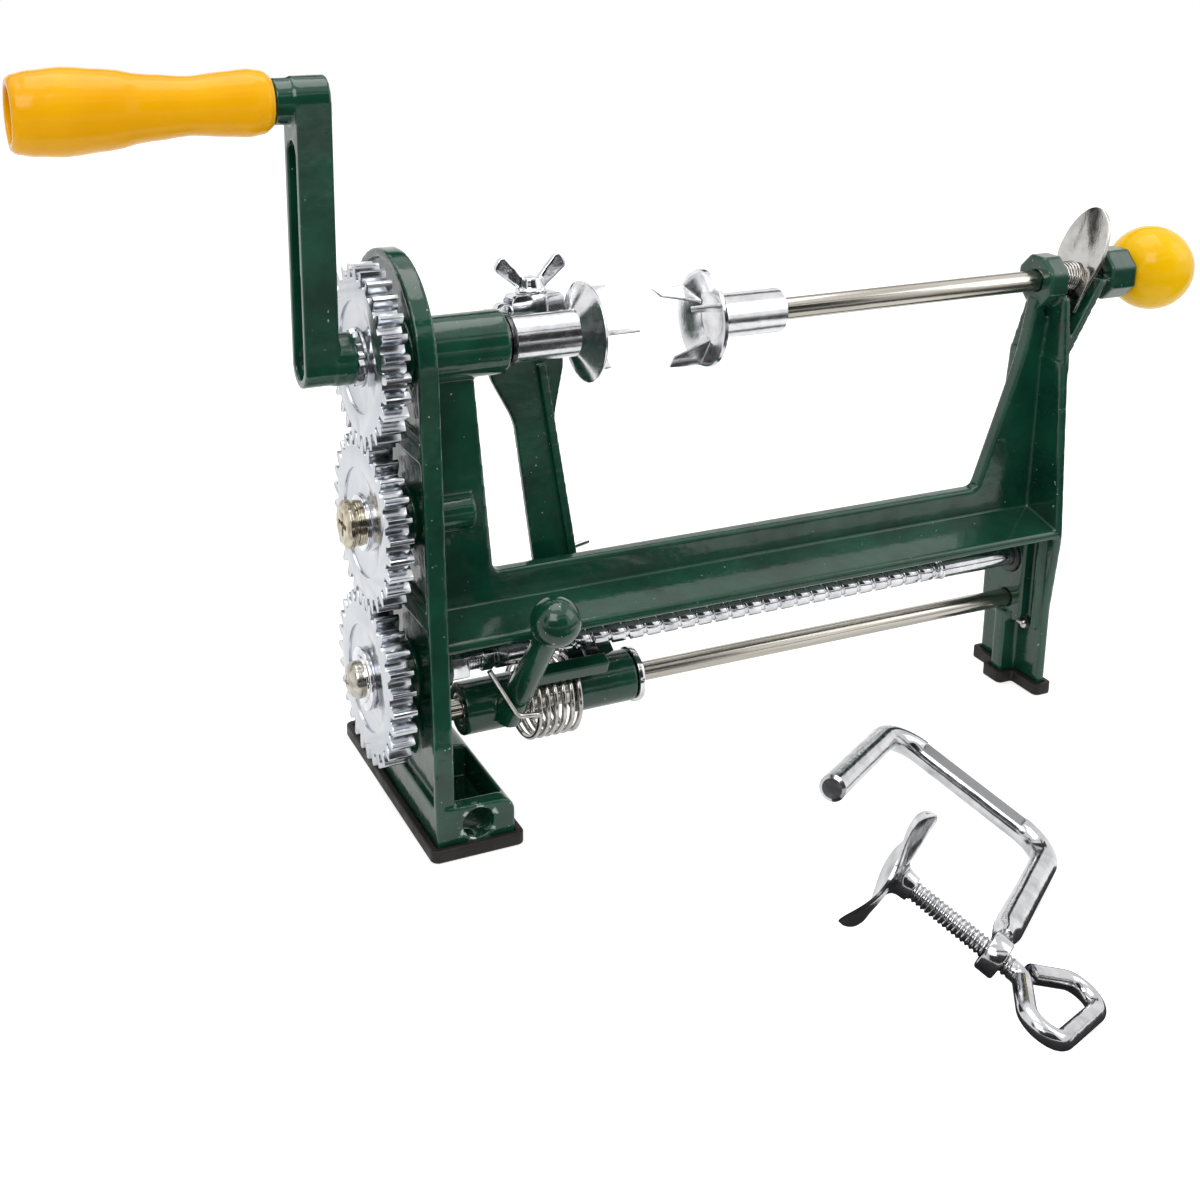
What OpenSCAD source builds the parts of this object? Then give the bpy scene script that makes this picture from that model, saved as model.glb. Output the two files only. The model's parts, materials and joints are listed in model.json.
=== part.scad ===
// Hand cranked fruit peeler: cast frame, three gear train, spindle with forked chuck,
// spring latched tail rod, leadscrew driven carriage with a sprung peeling arm, and a table clamp.
// +X runs along the beam from the crank to the ball knob, +Y away from the user, +Z up.
// The origin lies on the table, under the outer face of the gear plate, in the plane of the shafts.

/* [Gear train] */
// Teeth on each of the three gears, a multiple of four
gear_teeth = 28; // [20:4:40]
// Module of the teeth
gear_module = 2; // [1.5:0.25:2.5]
// Thickness of a gear
gear_t = 8; // [5:0.5:10]
// Gap between the gears and the plate behind them
gear_gap = 5.3; // [3:0.1:8]
// Play between meshing teeth, measured at the pitch circle
backlash = 0.3; // [0.2:0.05:0.5]
// Depth of the shallow dish in a gear's face
gear_dish = 0.8; // [0.4:0.1:1.5]

/* [Shafts] */
// Height of the guide rod above the table
rod_z = 35; // [30:0.5:45]
// Height of the leadscrew above the guide rod
screw_rise = 18.5; // [18:0.5:24]
// Diameter of the guide rod
rod_d = 7; // [6:0.5:8]
// Outside diameter of the leadscrew
screw_d = 8.6; // [7:0.2:10]
// Lead of the leadscrew's groove
screw_lead = 7; // [5:0.5:9]
// Depth of the leadscrew's groove
groove_depth = 0.9; // [0.5:0.1:1.2]
// Diameter of the spindle
spindle_d = 9; // [7:0.5:10]
// Diameter of the tail rod
tail_rod_d = 8; // [7:0.5:10]
// Radial play of every shaft in its bore
shaft_play = 0.06; // [0.03:0.01:0.1]

/* [Frame] */
// Length from the gear plate's outer face to the right end plate's outer face
frame_l = 263; // [240:1:320]
// Thickness of the gear plate
plate_t = 6.7; // [5:0.1:9]
// Radius of the gear plate's round top
arch_r = 35; // [32:0.5:42]
// Distance of the gear plate's middle behind the shafts
arch_y = 13; // [8:0.5:16]
// Distance of the plate's front edge before the shafts, at the foot
plate_front = 32.5; // [28:0.5:38]
// Width of the raised rim round the gear plate
plate_rim_w = 3; // [2:0.5:5]
// Depth of the gear plate's recess
plate_recess = 2.6; // [1:0.1:3.5]
// Thickness of the web
web_t = 5.5; // [4:0.5:9]
// Top of the beam above the leadscrew
beam_rise = 31.5; // [26:0.5:40]
// Distance of the flange's front edge from the shafts
flange_front = 21; // [16:0.5:24]
// Thickness of the flange at its lip
flange_lip = 3.2; // [2.5:0.1:5]
// Thickness of the right end plate
end_t = 3.2; // [2.5:0.1:5]
// Outside diameter of the spindle's boss
boss_d = 21.6; // [19:0.2:26]
// Length of the spindle's boss beyond the plate
boss_l = 29.2; // [22:0.2:36]
// Width across the flats of the tail bosses
tail_boss_w = 19; // [16:0.5:24]

/* [Feet] */
// Thickness of the rubber pads
pad_t = 4.5; // [3:0.5:6]
// How far a pad stands out round the casting
pad_lip = 2.8; // [1.5:0.1:4]
// Length of the left foot along the beam
foot_l = 27.5; // [24:0.5:34]
// Height of the left foot's walls
foot_h = 13.4; // [13:0.1:18]
// Distance of the left foot's back behind the shafts
foot_back = 50; // [44:1:56]
// Diameter of the hole for the clamp
clamp_hole_d = 10.8; // [10:0.1:11]

/* [Crank] */
// Distance from the spindle to the grip
crank_r = 82; // [70:1:110]
// Thickness of the crank arm
crank_t = 11; // [8:0.5:14]
// Width of the crank arm
crank_w = 12.5; // [10:0.5:15]
// Length of the grip
grip_l = 75; // [60:1:100]
// Largest diameter of the grip
grip_d = 25.6; // [22:0.2:30]
// Diameter of the grip's pin
grip_pin_d = 7; // [5:0.5:8]

/* [Chucks] */
// Diameter of the dished discs
disc_d = 34.6; // [28:0.2:42]
// Depth of the dish
dish_depth = 4.6; // [3:0.2:7]
// Thickness of the chucks' sheet
sheet_t = 1.2; // [0.8:0.1:2]
// Outside diameter of a chuck's sleeve
sleeve_d = 15.8; // [14:0.2:19]
// Length of a chuck's sleeve
sleeve_l = 22.5; // [16:0.5:28]
// Prongs on each chuck
prongs = 3; // [2:1:6]
// Length of a prong
prong_l = 13; // [8:0.5:20]
// Distance between the two discs when the tail rod is pushed in
disc_gap = 46; // [44:1:60]

/* [Tail] */
// Diameter of the ball knob
ball_d = 33; // [28:0.5:40]
// Height of the latch plate
latch_h = 41.3; // [38:0.1:46]
// Width of the latch plate
latch_w = 24; // [20:0.5:32]
// Thickness of the latch plate
latch_t = 1.6; // [1.2:0.1:2.5]
// Lean of the latch plate
latch_lean = 21.5; // [16:0.5:24]
// Play of the latch plate's hole round the tail rod
latch_play = 0.25; // [0.2:0.05:0.5]

/* [Carriage] */
// Distance from the plate's outer face to the carriage's left end
carriage_x = 20; // [16:0.5:30]
// Length of each end sleeve
end_sleeve_l = 21; // [18:0.5:26]
// Outside diameter of the end sleeves
end_sleeve_d = 18.6; // [17:0.2:20]
// Length of the space that the torsion spring fills
spring_space = 21.8; // [20:0.2:28]
// Diameter of the lever's ball
lever_ball_d = 17; // [14:0.5:20]
// Lean of the peeling arm away from the fruit
arm_lean = 6; // [5:0.5:9]
// Height of the peeling arm's head above the guide rod
arm_l = 138; // [130:1:145]
// Width of the peeling arm at its waist
arm_waist = 15; // [12:0.5:18]
// Thickness of the peeling arm
arm_t = 3; // [2.5:0.1:4]

/* [Springs] */
// Wire diameter of the torsion spring
torsion_wire = 1.9; // [1.5:0.1:2.2]
// Outside diameter of the torsion spring
torsion_d = 28.4; // [26:0.2:29]
// Turns of the torsion spring
torsion_turns = 6; // [4:1:7]
// Wire diameter of the latch spring
latch_wire = 1; // [0.8:0.1:1.1]
// Outside diameter of the latch spring
latch_spring_d = 12.4; // [11.6:0.2:14]
// Turns of the latch spring
latch_turns = 4; // [3:1:5]

/* [Clamp] */
// Diameter of the clamp's bent rod
clamp_rod_d = 8.5; // [8:0.1:9.2]
// Length of the clamp's upper arm
clamp_arm = 71; // [50:1:80]
// Distance between the clamp's two arms
clamp_back = 63; // [60:1:90]
// Outside diameter of the clamp's pressure pad
clamp_pad_d = 42; // [34:1:50]
// Distance of the clamp's screw from the clamp's back
clamp_reach = 92; // [80:1:110]
// Place of the clamp along the beam
clamp_x = 153.4; // [130:0.2:180]
// Distance of the clamp before the shafts
clamp_y = 67; // [60:0.5:120]
// Height of the clamp's upper bend above the table
clamp_z = 31.3; // [31:0.1:60]
// Diameter of the clamp's screw
clamp_screw_d = 6; // [5:0.5:7]
// Diameter of the handle's wire
handle_wire = 5.6; // [4:0.1:6]

/* [Hidden] */
$fn = 96;
// How far a cut runs past the surface that it opens
overrun = 1;
// Gap left round a piece that is seated on another
seat = 0.02;
// Gap along a shaft between pieces that turn past each other
side_gap = 0.5;
// Steps of the arcs in an outline
arc_steps = 24;

pitch_r = gear_teeth * gear_module / 2;
shaft_gap = 2 * pitch_r;
screw_z = rod_z + screw_rise;
idler_z = screw_z + shaft_gap;
spindle_z = idler_z + shaft_gap;
beam_top = screw_z + beam_rise;
beam_bottom = screw_z + 0.42 * beam_rise;
gear_back = -gear_gap;
gear_front = gear_back - gear_t;
end_x = frame_l - end_t;
web_y = web_t / 2;
pad_floor = 0.75 * pad_t;
running = 2 * shaft_play;
seated = 2 * seat;

function arc(y, z, r, a0, a1, n = arc_steps) =
    [for (i = [0:n]) [y + r * cos(a0 + (a1 - a0) * i / n), z + r * sin(a0 + (a1 - a0) * i / n)]];

// Two unequal arcs joined by their common tangents, the first one below
function pill(z0, r0, z1, r1) =
    let (a = asin((r0 - r1) / (z1 - z0)))
    concat(arc(0, z1, r1, a, 180 - a), arc(0, z0, r0, 180 - a, 360 + a));

// Corners given as [y, z, radius]; each is replaced by its fillet arc
function corner(a, b, c, r) =
    let (u = (a - b) / norm(a - b), v = (c - b) / norm(c - b),
         half = acos(u * v) / 2,
         m = b + (u + v) / norm(u + v) * r / sin(half),
         p = b + u * r / tan(half) - m,
         q = b + v * r / tan(half) - m,
         a0 = atan2(p[1], p[0]),
         turn = atan2(q[1], q[0]) - a0,
         sweep = turn > 180 ? turn - 360 : turn < -180 ? turn + 360 : turn)
    [for (i = [0:6]) m + r * [cos(a0 + sweep * i / 6), sin(a0 + sweep * i / 6)]];

function rounded(list) =
    [for (i = [0:len(list) - 1])
        let (n = len(list), a = list[(i + n - 1) % n], b = list[i], c = list[(i + 1) % n])
        each b[2] == 0 ? [[b[0], b[1]]]
            : corner([a[0], a[1]], [b[0], b[1]], [c[0], c[1]], b[2])];

// A profile drawn in the plane of Y and Z, drawn out along X
module along_x(x, l) {
    translate([x, 0, 0]) rotate([90, 0, 90]) linear_extrude(l) children();
}

// A profile drawn in the plane of X and Z, drawn out along Y
module along_y(y, l) {
    translate([0, y + l, 0]) rotate([90, 0, 0]) linear_extrude(l) children();
}

// A profile of [radius, length along X], turned about a line at height z
module turned(x, z) {
    translate([x, 0, z]) rotate([0, 90, 0]) rotate_extrude() children();
}

module rod_x(x, z, l, d) {
    translate([x, 0, z]) rotate([0, 90, 0]) cylinder(h = l, d = d);
}

module hex_x(x, z, l, flats) {
    translate([x, 0, z]) rotate([0, 90, 0]) cylinder(h = l, d = flats / cos(30), $fn = 6);
}

// A bent wire: a tube carried along a path without twisting
function unit(v) = v / norm(v);
function heads(p) =
    [for (i = [0:len(p) - 1]) unit(p[min(i + 1, len(p) - 1)] - p[max(i - 1, 0)])];
function carried(t, n, i = 1) =
    i >= len(t) ? n : carried(t, concat(n, [unit(n[i - 1] - t[i] * (n[i - 1] * t[i]))]), i + 1);

module wire(path, d, sides, first) {
    t = heads(path);
    n = carried(t, [unit(first - t[0] * (first * t[0]))]);
    pts = [for (i = [0:len(path) - 1]) for (k = [0:sides - 1])
        path[i] + d / 2 * (n[i] * cos(360 * k / sides) + cross(t[i], n[i]) * sin(360 * k / sides))];
    last = (len(path) - 1) * sides;
    walls = [for (i = [0:len(path) - 2]) for (k = [0:sides - 1])
        let (a = i * sides + k, b = i * sides + (k + 1) % sides)
        each [[a, a + sides, b], [b, a + sides, b + sides]]];
    near = [for (k = [1:sides - 2]) [0, k, k + 1]];
    far = [for (k = [1:sides - 2]) [last, last + k + 1, last + k]];
    polyhedron(points = pts, faces = concat(walls, near, far));
}

// A bend of radius r between two straight runs of a path
function bend(a, b, c, r, n = 6) =
    let (u = unit(a - b), v = unit(c - b),
         half = acos(u * v) / 2,
         mid = unit(u + v),
         m = b + mid * r / sin(half),
         p = b + u * r / tan(half) - m,
         q = b + v * r / tan(half) - m,
         sweep = 180 - 2 * half)
    [for (i = [0:n]) m + (p * sin(sweep * (1 - i / n)) + q * sin(sweep * i / n)) / sin(sweep)];

/* Frame */

arch_z = spindle_z - 0.11 * arch_r;
foot_z = pad_floor;
foot_angle = atan2(foot_z - arch_z, -plate_front - arch_y) + 360;
foot_reach = norm([plate_front + arch_y, arch_z - foot_z]);
side_a = foot_angle - acos(arch_r / foot_reach);

// Y of the plate's front edge at height z, set in from its outline
function side_y(inset, z) =
    (cos(side_a) * arch_y + sin(side_a) * (arch_z - z) + arch_r - inset) / cos(side_a);

function plate_outline(inset, z) = concat(
    arc(arch_y, arch_z, arch_r - inset, 180 - side_a, side_a, 2 * arc_steps),
    [[side_y(inset, z), z], [2 * arch_y - side_y(inset, z), z]]);

idler_boss_r = 0.28 * boss_d;
idler_boss_l = 0.6 * boss_l;
screw_boss_l = 0.3 * boss_l;
hub_boss_l = gear_gap - side_gap;
rod_boss_l = 0.7 * gear_gap;
bush_d = 0.62 * boss_d;
bush_lip = 3.4;
bush_lip_d = 0.8 * boss_d;
bush_neck = 0.45 * bush_lip;
idler_pin_d = 0.75 * spindle_d;
idler_hole_d = 0.45 * spindle_d;
journal_d = 0.8 * screw_d;
rib_w = 0.3 * boss_d;

module gear_plate() {
    difference() {
        along_x(0, plate_t) polygon(plate_outline(0, foot_z));
        along_x(-overrun, plate_recess + overrun)
            polygon(plate_outline(plate_rim_w, foot_z + foot_h));
    }
    // Bosses and ribs in the recess behind the gears
    for (z = [screw_z, idler_z, spindle_z])
        rod_x(-hub_boss_l, z, hub_boss_l + plate_t / 2, boss_d);
    rod_x(-rod_boss_l, rod_z, rod_boss_l + plate_t / 2, boss_d);
    for (z = [idler_z + shaft_gap / 2, idler_z - shaft_gap / 2])
        translate([0, side_y(plate_rim_w, z) - seat, z - rib_w / 2])
            cube([plate_t / 2, 2 * (arch_y - side_y(plate_rim_w, z)) + seated, rib_w]);
}

// Outline of the web: gusset, beam and pillar in one
gusset_top_x = plate_t + 0.62 * boss_l;
gusset_foot_x = plate_t + 0.88 * boss_l;
pillar_x = end_x - 0.015 * frame_l;
pillar_foot_x = end_x - 0.096 * frame_l;
fork_z = spindle_z - 0.52 * shaft_gap;
beam_fillet = 0.11 * beam_rise;

module web() {
    along_y(-web_y, web_t) polygon(rounded([
        [plate_t / 2, beam_bottom, 0],
        [end_x + end_t / 2, beam_bottom, 0],
        [end_x + end_t / 2, fork_z, 0],
        [end_x + 0.1 * end_t, spindle_z - 0.12 * shaft_gap, 0],
        [pillar_x, spindle_z - 0.12 * shaft_gap, 0],
        [pillar_x - 0.013 * frame_l, spindle_z - 0.49 * shaft_gap, 2 * shaft_gap],
        [pillar_foot_x, beam_top, beam_fillet],
        [gusset_foot_x, beam_top, beam_fillet],
        [gusset_top_x, spindle_z, 0],
        [plate_t / 2, spindle_z, 0]]));
}

// The shelf in front of the web, thin at its lip and deeper at the web
module flange() {
    along_x(plate_t / 2, frame_l - plate_t / 2 - end_t / 2) polygon(rounded([
        [-flange_front, beam_bottom, 0],
        [web_y, beam_bottom, 0],
        [web_y, beam_bottom + 2.4 * flange_lip, 0],
        [-web_y, beam_bottom + 2.4 * flange_lip, 0.6 * web_t],
        [-flange_front, beam_bottom + flange_lip, 0.5 * flange_lip]]));
}

end_half = 0.85 * flange_front;
end_wide = flange_front;
fork_half = 0.73 * flange_front;

module end_plate() {
    along_x(end_x, end_t) polygon(rounded([
        [-end_half, pad_floor, 0],
        [end_half, pad_floor, 0],
        [end_half, rod_z, 0],
        [end_wide, beam_bottom, 0.3 * end_wide],
        [0.83 * flange_front, idler_z, 0],
        [fork_half, fork_z, 0],
        [-fork_half, fork_z, 0],
        [-0.83 * flange_front, idler_z, 0],
        [-end_wide, beam_bottom, 0.3 * end_wide],
        [-end_half, rod_z, 0]]));
}

tail_boss_r = tail_boss_w / 2 / cos(22.5);
near_boss_x = end_x - 0.18 * tail_boss_w;
near_boss_l = 0.44 * tail_boss_w;
far_boss_l = 0.64 * tail_boss_w;
far_boss_x = end_x + 1.36 * tail_boss_w;
branch_t = 0.16 * tail_boss_w;
branch_root_z = fork_z - 0.12 * shaft_gap;

module tail_boss(x, l) {
    translate([x, 0, spindle_z]) rotate([0, 90, 0]) rotate(22.5)
        cylinder(h = l, r = tail_boss_r, $fn = 8);
}

// The fork above the end plate: a straight branch and a slanted one, narrower at the bosses
module fork() {
    half = 0.46 * tail_boss_w;
    intersection() {
        along_y(-fork_half, 2 * fork_half) union() {
            polygon([[end_x, branch_root_z], [end_x + end_t, branch_root_z],
                     [end_x + 0.32 * tail_boss_w, spindle_z - 0.3 * tail_boss_w],
                     [end_x + 0.32 * tail_boss_w - branch_t, spindle_z - 0.3 * tail_boss_w]]);
            polygon([[end_x + 0.13 * tail_boss_w, fork_z + 0.05 * tail_boss_w],
                     [far_boss_x + 0.15 * tail_boss_w, spindle_z + 0.23 * tail_boss_w],
                     [far_boss_x + 0.03 * tail_boss_w, spindle_z + 0.32 * tail_boss_w],
                     [end_x + 0.13 * tail_boss_w, fork_z + 0.295 * tail_boss_w]]);
        }
        along_x(end_x - overrun, 3 * tail_boss_w) polygon([
            [-fork_half, branch_root_z - overrun], [fork_half, branch_root_z - overrun],
            [fork_half, fork_z], [half, spindle_z], [-half, spindle_z], [-fork_half, fork_z]]);
    }
}

// The block that carries both rods at the right end, and the stem below it
block_t = 0.018 * frame_l;
block_bottom = rod_z - 1.2 * rod_d;
stem_l = 0.026 * frame_l;

module end_leg() {
    along_x(end_x - block_t, block_t + end_t / 2) polygon(rounded([
        [-0.45 * flange_front, block_bottom, 0.25 * flange_front],
        [0.67 * flange_front, block_bottom, 0.25 * flange_front],
        [0.67 * flange_front, beam_bottom + flange_lip / 2, 0],
        [-0.45 * flange_front, beam_bottom + flange_lip / 2, 0]]));
    translate([end_x - stem_l, -0.14 * flange_front, pad_floor])
        cube([stem_l + end_t / 2, 0.28 * flange_front, block_bottom]);
    // Thin rib along the leg's front edge
    translate([end_x - 0.5 * block_t, -0.72 * flange_front, block_bottom])
        cube([block_t, 0.1 * flange_front, beam_bottom + flange_lip / 2 - block_bottom]);
}

cavity_back = 0.2 * plate_front;
wall_t = 0.18 * plate_front;
hole_x = plate_t + 0.38 * (foot_l - plate_t);
hole_z = foot_z + foot_h / 2;

module foot() {
    difference() {
        along_y(-plate_front, plate_front + foot_back) polygon(rounded([
            [plate_t / 2, foot_z, 0],
            [foot_l, foot_z, 0],
            [foot_l, foot_z + foot_h, 0.35 * foot_h],
            [plate_t / 2, foot_z + 1.04 * foot_h, 0]]));
        // Open pocket behind the front wall
        translate([plate_t, wall_t - plate_front, foot_z + pad_t / 3])
            cube([foot_l - plate_t - 0.5 * wall_t, plate_front - wall_t + cavity_back,
                  foot_h + overrun]);
        // Hole for the clamp in the front wall, and a wider blind one behind the pocket
        translate([hole_x, -plate_front - overrun, hole_z]) rotate([-90, 0, 0])
            cylinder(h = wall_t + 2 * overrun, d = clamp_hole_d);
        translate([hole_x, cavity_back - overrun, hole_z]) rotate([-90, 0, 0])
            cylinder(h = 0.6 * foot_back, d = 1.06 * clamp_hole_d);
    }
}

rod_right = end_x - 0.4 * block_t + block_t / 5;
screw_right = end_x - 0.35 * block_t;
rear_bush_d = 1.55 * screw_d;
rear_lip = 0.06 * screw_d;

module frame_casting() {
    color("darkgreen") difference() {
        union() {
            gear_plate();
            web();
            flange();
            end_plate();
            end_leg();
            foot();
            fork();
            rod_x(plate_t / 2, spindle_z, boss_l + plate_t / 2, boss_d);
            translate([0, -web_y, 0])
                rod_x(plate_t / 2, idler_z, idler_boss_l + plate_t / 2, 2 * idler_boss_r);
            rod_x(plate_t / 2, screw_z, screw_boss_l + plate_t / 2, 0.8 * boss_d);
            tail_boss(near_boss_x, near_boss_l);
            tail_boss(far_boss_x, far_boss_l);
        }
        // Bores, left to right
        rod_x(-gear_gap - overrun, spindle_z, boss_l + plate_t + gear_gap + 2 * overrun,
              bush_d + seated);
        rod_x(-gear_gap - overrun, idler_z, gear_gap + plate_t + idler_boss_l, idler_hole_d + seated);
        rod_x(-gear_gap - overrun, screw_z,
              gear_gap + plate_t + screw_boss_l + 2 * overrun, journal_d + running);
        rod_x(-gear_gap - overrun, rod_z, gear_gap + plate_t + 2 * overrun, rod_d + seated);
        rod_x(end_x - block_t - overrun, rod_z, rod_right - end_x + block_t + overrun + seat,
              rod_d + seated);
        rod_x(end_x - block_t - overrun, screw_z, screw_right - end_x + block_t + overrun + seat,
              rear_bush_d + seated);
        // One bore for the tail rod, through both bosses and the slanted branch between them
        rod_x(near_boss_x - overrun, spindle_z, far_boss_x + far_boss_l - near_boss_x + 2 * overrun,
              tail_rod_d + running);
    }
}

// A rubber tray: a floor with a low rim round the casting that stands in it
module tray(outer, inner) {
    difference() {
        linear_extrude(pad_t) polygon(rounded(outer));
        translate([0, 0, pad_floor]) linear_extrude(pad_t) polygon(inner);
    }
}

pad_gap = 0.1 * pad_t;
left_back = 2 * arch_y - side_y(0, foot_z);

module left_foot_pad() {
    out = pad_lip;
    color("#1c1a19") tray(
        [[-out, -plate_front - out, out], [foot_l + out, -plate_front - out, out],
         [foot_l + out, foot_back + out, out], [plate_t + out, left_back + out, 2 * out],
         [-out, left_back + out, out]],
        [[-pad_gap, -plate_front - pad_gap], [foot_l + pad_gap, -plate_front - pad_gap],
         [foot_l + pad_gap, foot_back + pad_gap], [plate_t + pad_gap, foot_back + pad_gap],
         [plate_t + pad_gap, left_back + pad_gap], [-pad_gap, left_back + pad_gap]]);
}

module right_foot_pad() {
    out = 0.8 * pad_lip;
    stem = 0.14 * flange_front;
    gap = pad_gap;
    color("#1c1a19") tray(
        [[end_x - out - gap, -end_half - out, out], [frame_l + out, -end_half - out, out],
         [frame_l + out, end_half + out, out], [end_x - out - gap, end_half + out, out],
         [end_x - out - gap, stem + out + gap, out / 2],
         [end_x - stem_l - out, stem + out + gap, out], [end_x - stem_l - out, -stem - out - gap, out],
         [end_x - out - gap, -stem - out - gap, out / 2]],
        [[end_x - gap, -end_half - gap], [frame_l + gap, -end_half - gap],
         [frame_l + gap, end_half + gap], [end_x - gap, end_half + gap],
         [end_x - gap, stem + gap], [end_x - stem_l - gap, stem + gap],
         [end_x - stem_l - gap, -stem - gap], [end_x - gap, -stem - gap]]);
}

module guide_rod() {
    color("#b9b3a6") rod_x(-rod_boss_l - 0.1 * rod_d, rod_z, rod_right + rod_boss_l + 0.1 * rod_d, rod_d);
}

bush_l = boss_l + plate_t + hub_boss_l;

module spindle_bush() {
    color("#4a4a4c") difference() {
        union() {
            rod_x(-hub_boss_l, spindle_z, bush_l + seat, bush_d);
            rod_x(plate_t + boss_l, spindle_z, bush_neck, 0.7 * boss_d);
            rod_x(plate_t + boss_l + bush_neck - seat, spindle_z, bush_lip - bush_neck, bush_lip_d);
        }
        rod_x(-hub_boss_l - overrun, spindle_z, bush_l + bush_lip + 2 * overrun, spindle_d + running);
    }
}

idler_head_d = 2.4 * idler_pin_d;
idler_head_l = 0.35 * idler_head_d;
idler_washer_t = 0.08 * gear_t;
idler_face = gear_front - idler_washer_t;

// Shoulder screw: head with a stepped collar, shoulder that the gear runs on, thinner shank
module idler_screw() {
    color("#b79b5b") difference() {
        union() {
            turned(idler_face, idler_z) polygon([
                [0, -idler_head_l], [0.42 * idler_head_d, -idler_head_l],
                [0.5 * idler_head_d, -0.86 * idler_head_l], [0.5 * idler_head_d, -0.5 * idler_head_l],
                [0.42 * idler_head_d, -0.5 * idler_head_l], [0.42 * idler_head_d, -0.3 * idler_head_l],
                [0.47 * idler_head_d, -0.3 * idler_head_l], [0.47 * idler_head_d, 0], [0, 0]]);
            rod_x(idler_face - seat, idler_z, gear_t + idler_washer_t + side_gap - seated, idler_pin_d);
            rod_x(gear_back, idler_z, gear_gap + plate_t + idler_boss_l - 2 * overrun, idler_hole_d);
        }
        // Cross recess in the head
        for (a = [0, 90])
            translate([idler_face - idler_head_l - overrun, 0, idler_z]) rotate([a, 0, 0])
                translate([0, -0.26 * idler_head_d, -0.05 * idler_head_d])
                    cube([overrun + 0.35 * idler_head_l, 0.52 * idler_head_d, 0.1 * idler_head_d]);
    }
}

module idler_washer() {
    color("silver") difference() {
        rod_x(idler_face + seat, idler_z, idler_washer_t - seated, 1.16 * idler_head_d);
        rod_x(idler_face - overrun, idler_z, 3 * overrun, idler_pin_d + running);
    }
}

module leadscrew_bush() {
    color("#222222") difference() {
        rod_x(end_x - block_t - rear_lip, screw_z, screw_right - end_x + block_t + rear_lip,
              rear_bush_d);
        rod_x(end_x - block_t - overrun, screw_z, block_t + 2 * overrun, screw_d + running);
    }
}

/* Gears */

base_r = pitch_r * cos(20);
tip_r = pitch_r + gear_module;
root_r = pitch_r - 1.25 * gear_module;

// Half the angle that a tooth covers at radius r, on an involute flank
function flank(a) = tan(a) * 180 / PI - a;
function half_tooth(r) =
    90 / gear_teeth - backlash / pitch_r * 45 / PI + flank(20) - flank(acos(min(1, base_r / r)));
tooth_radii = [root_r, base_r, (base_r + pitch_r) / 2, pitch_r, (pitch_r + tip_r) / 2, tip_r];

function gear_outline(phase) =
    [for (i = [0:gear_teeth - 1])
        let (m = phase + 360 * i / gear_teeth, n = len(tooth_radii) - 1)
        each concat(
            [for (k = [0:n]) let (r = tooth_radii[k], a = m - half_tooth(r)) r * [cos(a), sin(a)]],
            [for (k = [n:-1:0]) let (r = tooth_radii[k], a = m + half_tooth(r)) r * [cos(a), sin(a)]])];

module gear(z, phase, bore) {
    dish_r = 0.72 * root_r;
    hub_r = 0.38 * root_r;
    difference() {
        translate([0, 0, z]) along_x(gear_front, gear_t) polygon(gear_outline(phase));
        // Two shallow steps in the face, one inside the other
        translate([gear_front - overrun, 0, z]) rotate([0, 90, 0]) difference() {
            cylinder(h = overrun + gear_dish, r = dish_r);
            cylinder(h = overrun + gear_dish, r = hub_r);
        }
        rod_x(gear_front - overrun, z, gear_t + 2 * overrun, bore);
    }
}

half_pitch = 180 / gear_teeth;

module drive_gear() {
    ring_r = 0.36 * root_r;
    color("silver") difference() {
        union() {
            gear(spindle_z, 0, spindle_d + seated);
            // Toothed collar that locks into the crank's hub
            translate([0, 0, spindle_z]) along_x(gear_front - collar_l, collar_l + overrun)
                polygon([for (i = [0:2 * collar_teeth - 1])
                    let (r = i % 2 == 0 ? ring_r : 0.84 * ring_r, a = 180 * i / collar_teeth)
                    r * [cos(a), sin(a)]]);
        }
        rod_x(gear_front - collar_l - overrun, spindle_z, collar_l + gear_t + 2 * overrun,
              spindle_d + seated);
    }
}

module idler_gear() {
    color("silver") gear(idler_z, half_pitch, idler_pin_d + running);
}

module leadscrew_gear() {
    color("silver") gear(screw_z, 0, journal_d + seated);
}

/* Crank */

collar_l = 0.15 * crank_t;
collar_teeth = 18;
crank_hub_l = 0.55 * crank_t;
arm_x1 = gear_front - collar_l - crank_hub_l;
arm_x0 = arm_x1 - crank_t;
crank_end_r = 0.64 * crank_w;
crank_top_r = 0.6 * crank_w;
crank_z = spindle_z + crank_r;
grip_boss_l = 0.5 * crank_t;
crank_screw_d = 0.55 * spindle_d;

module crank_arm() {
    color("darkgreen") difference() {
        union() {
            along_x(arm_x0, crank_t) polygon(pill(spindle_z, crank_end_r, crank_z, crank_top_r));
            rod_x(arm_x1 - overrun, spindle_z, crank_hub_l + overrun, 2.1 * crank_end_r);
            rod_x(arm_x0 - grip_boss_l, crank_z, grip_boss_l + overrun, 1.88 * crank_top_r);
        }
        // Long channel in the outer face, between the grip's boss and the screw
        along_x(arm_x0 - overrun, 0.6 * crank_t + overrun) polygon(
            pill(spindle_z, 0.66 * crank_end_r, crank_z - 2.2 * crank_top_r, 0.62 * crank_top_r));
        rod_x(arm_x0, spindle_z, 2 * crank_t, crank_screw_d + seated);
        rod_x(arm_x1 + 0.3 * crank_hub_l, spindle_z, crank_hub_l, spindle_d + seated);
        rod_x(arm_x0 - grip_boss_l - overrun, crank_z, grip_boss_l + crank_t + 2 * overrun,
              grip_pin_d + seated);
    }
}

crank_head_d = 0.56 * 2 * crank_end_r;
crank_head_l = 0.3 * crank_t;
channel_floor = arm_x0 + 0.6 * crank_t;
spindle_left = arm_x1 + 0.35 * crank_hub_l;
spindle_right = plate_t + boss_l + bush_lip + sleeve_l;

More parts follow.
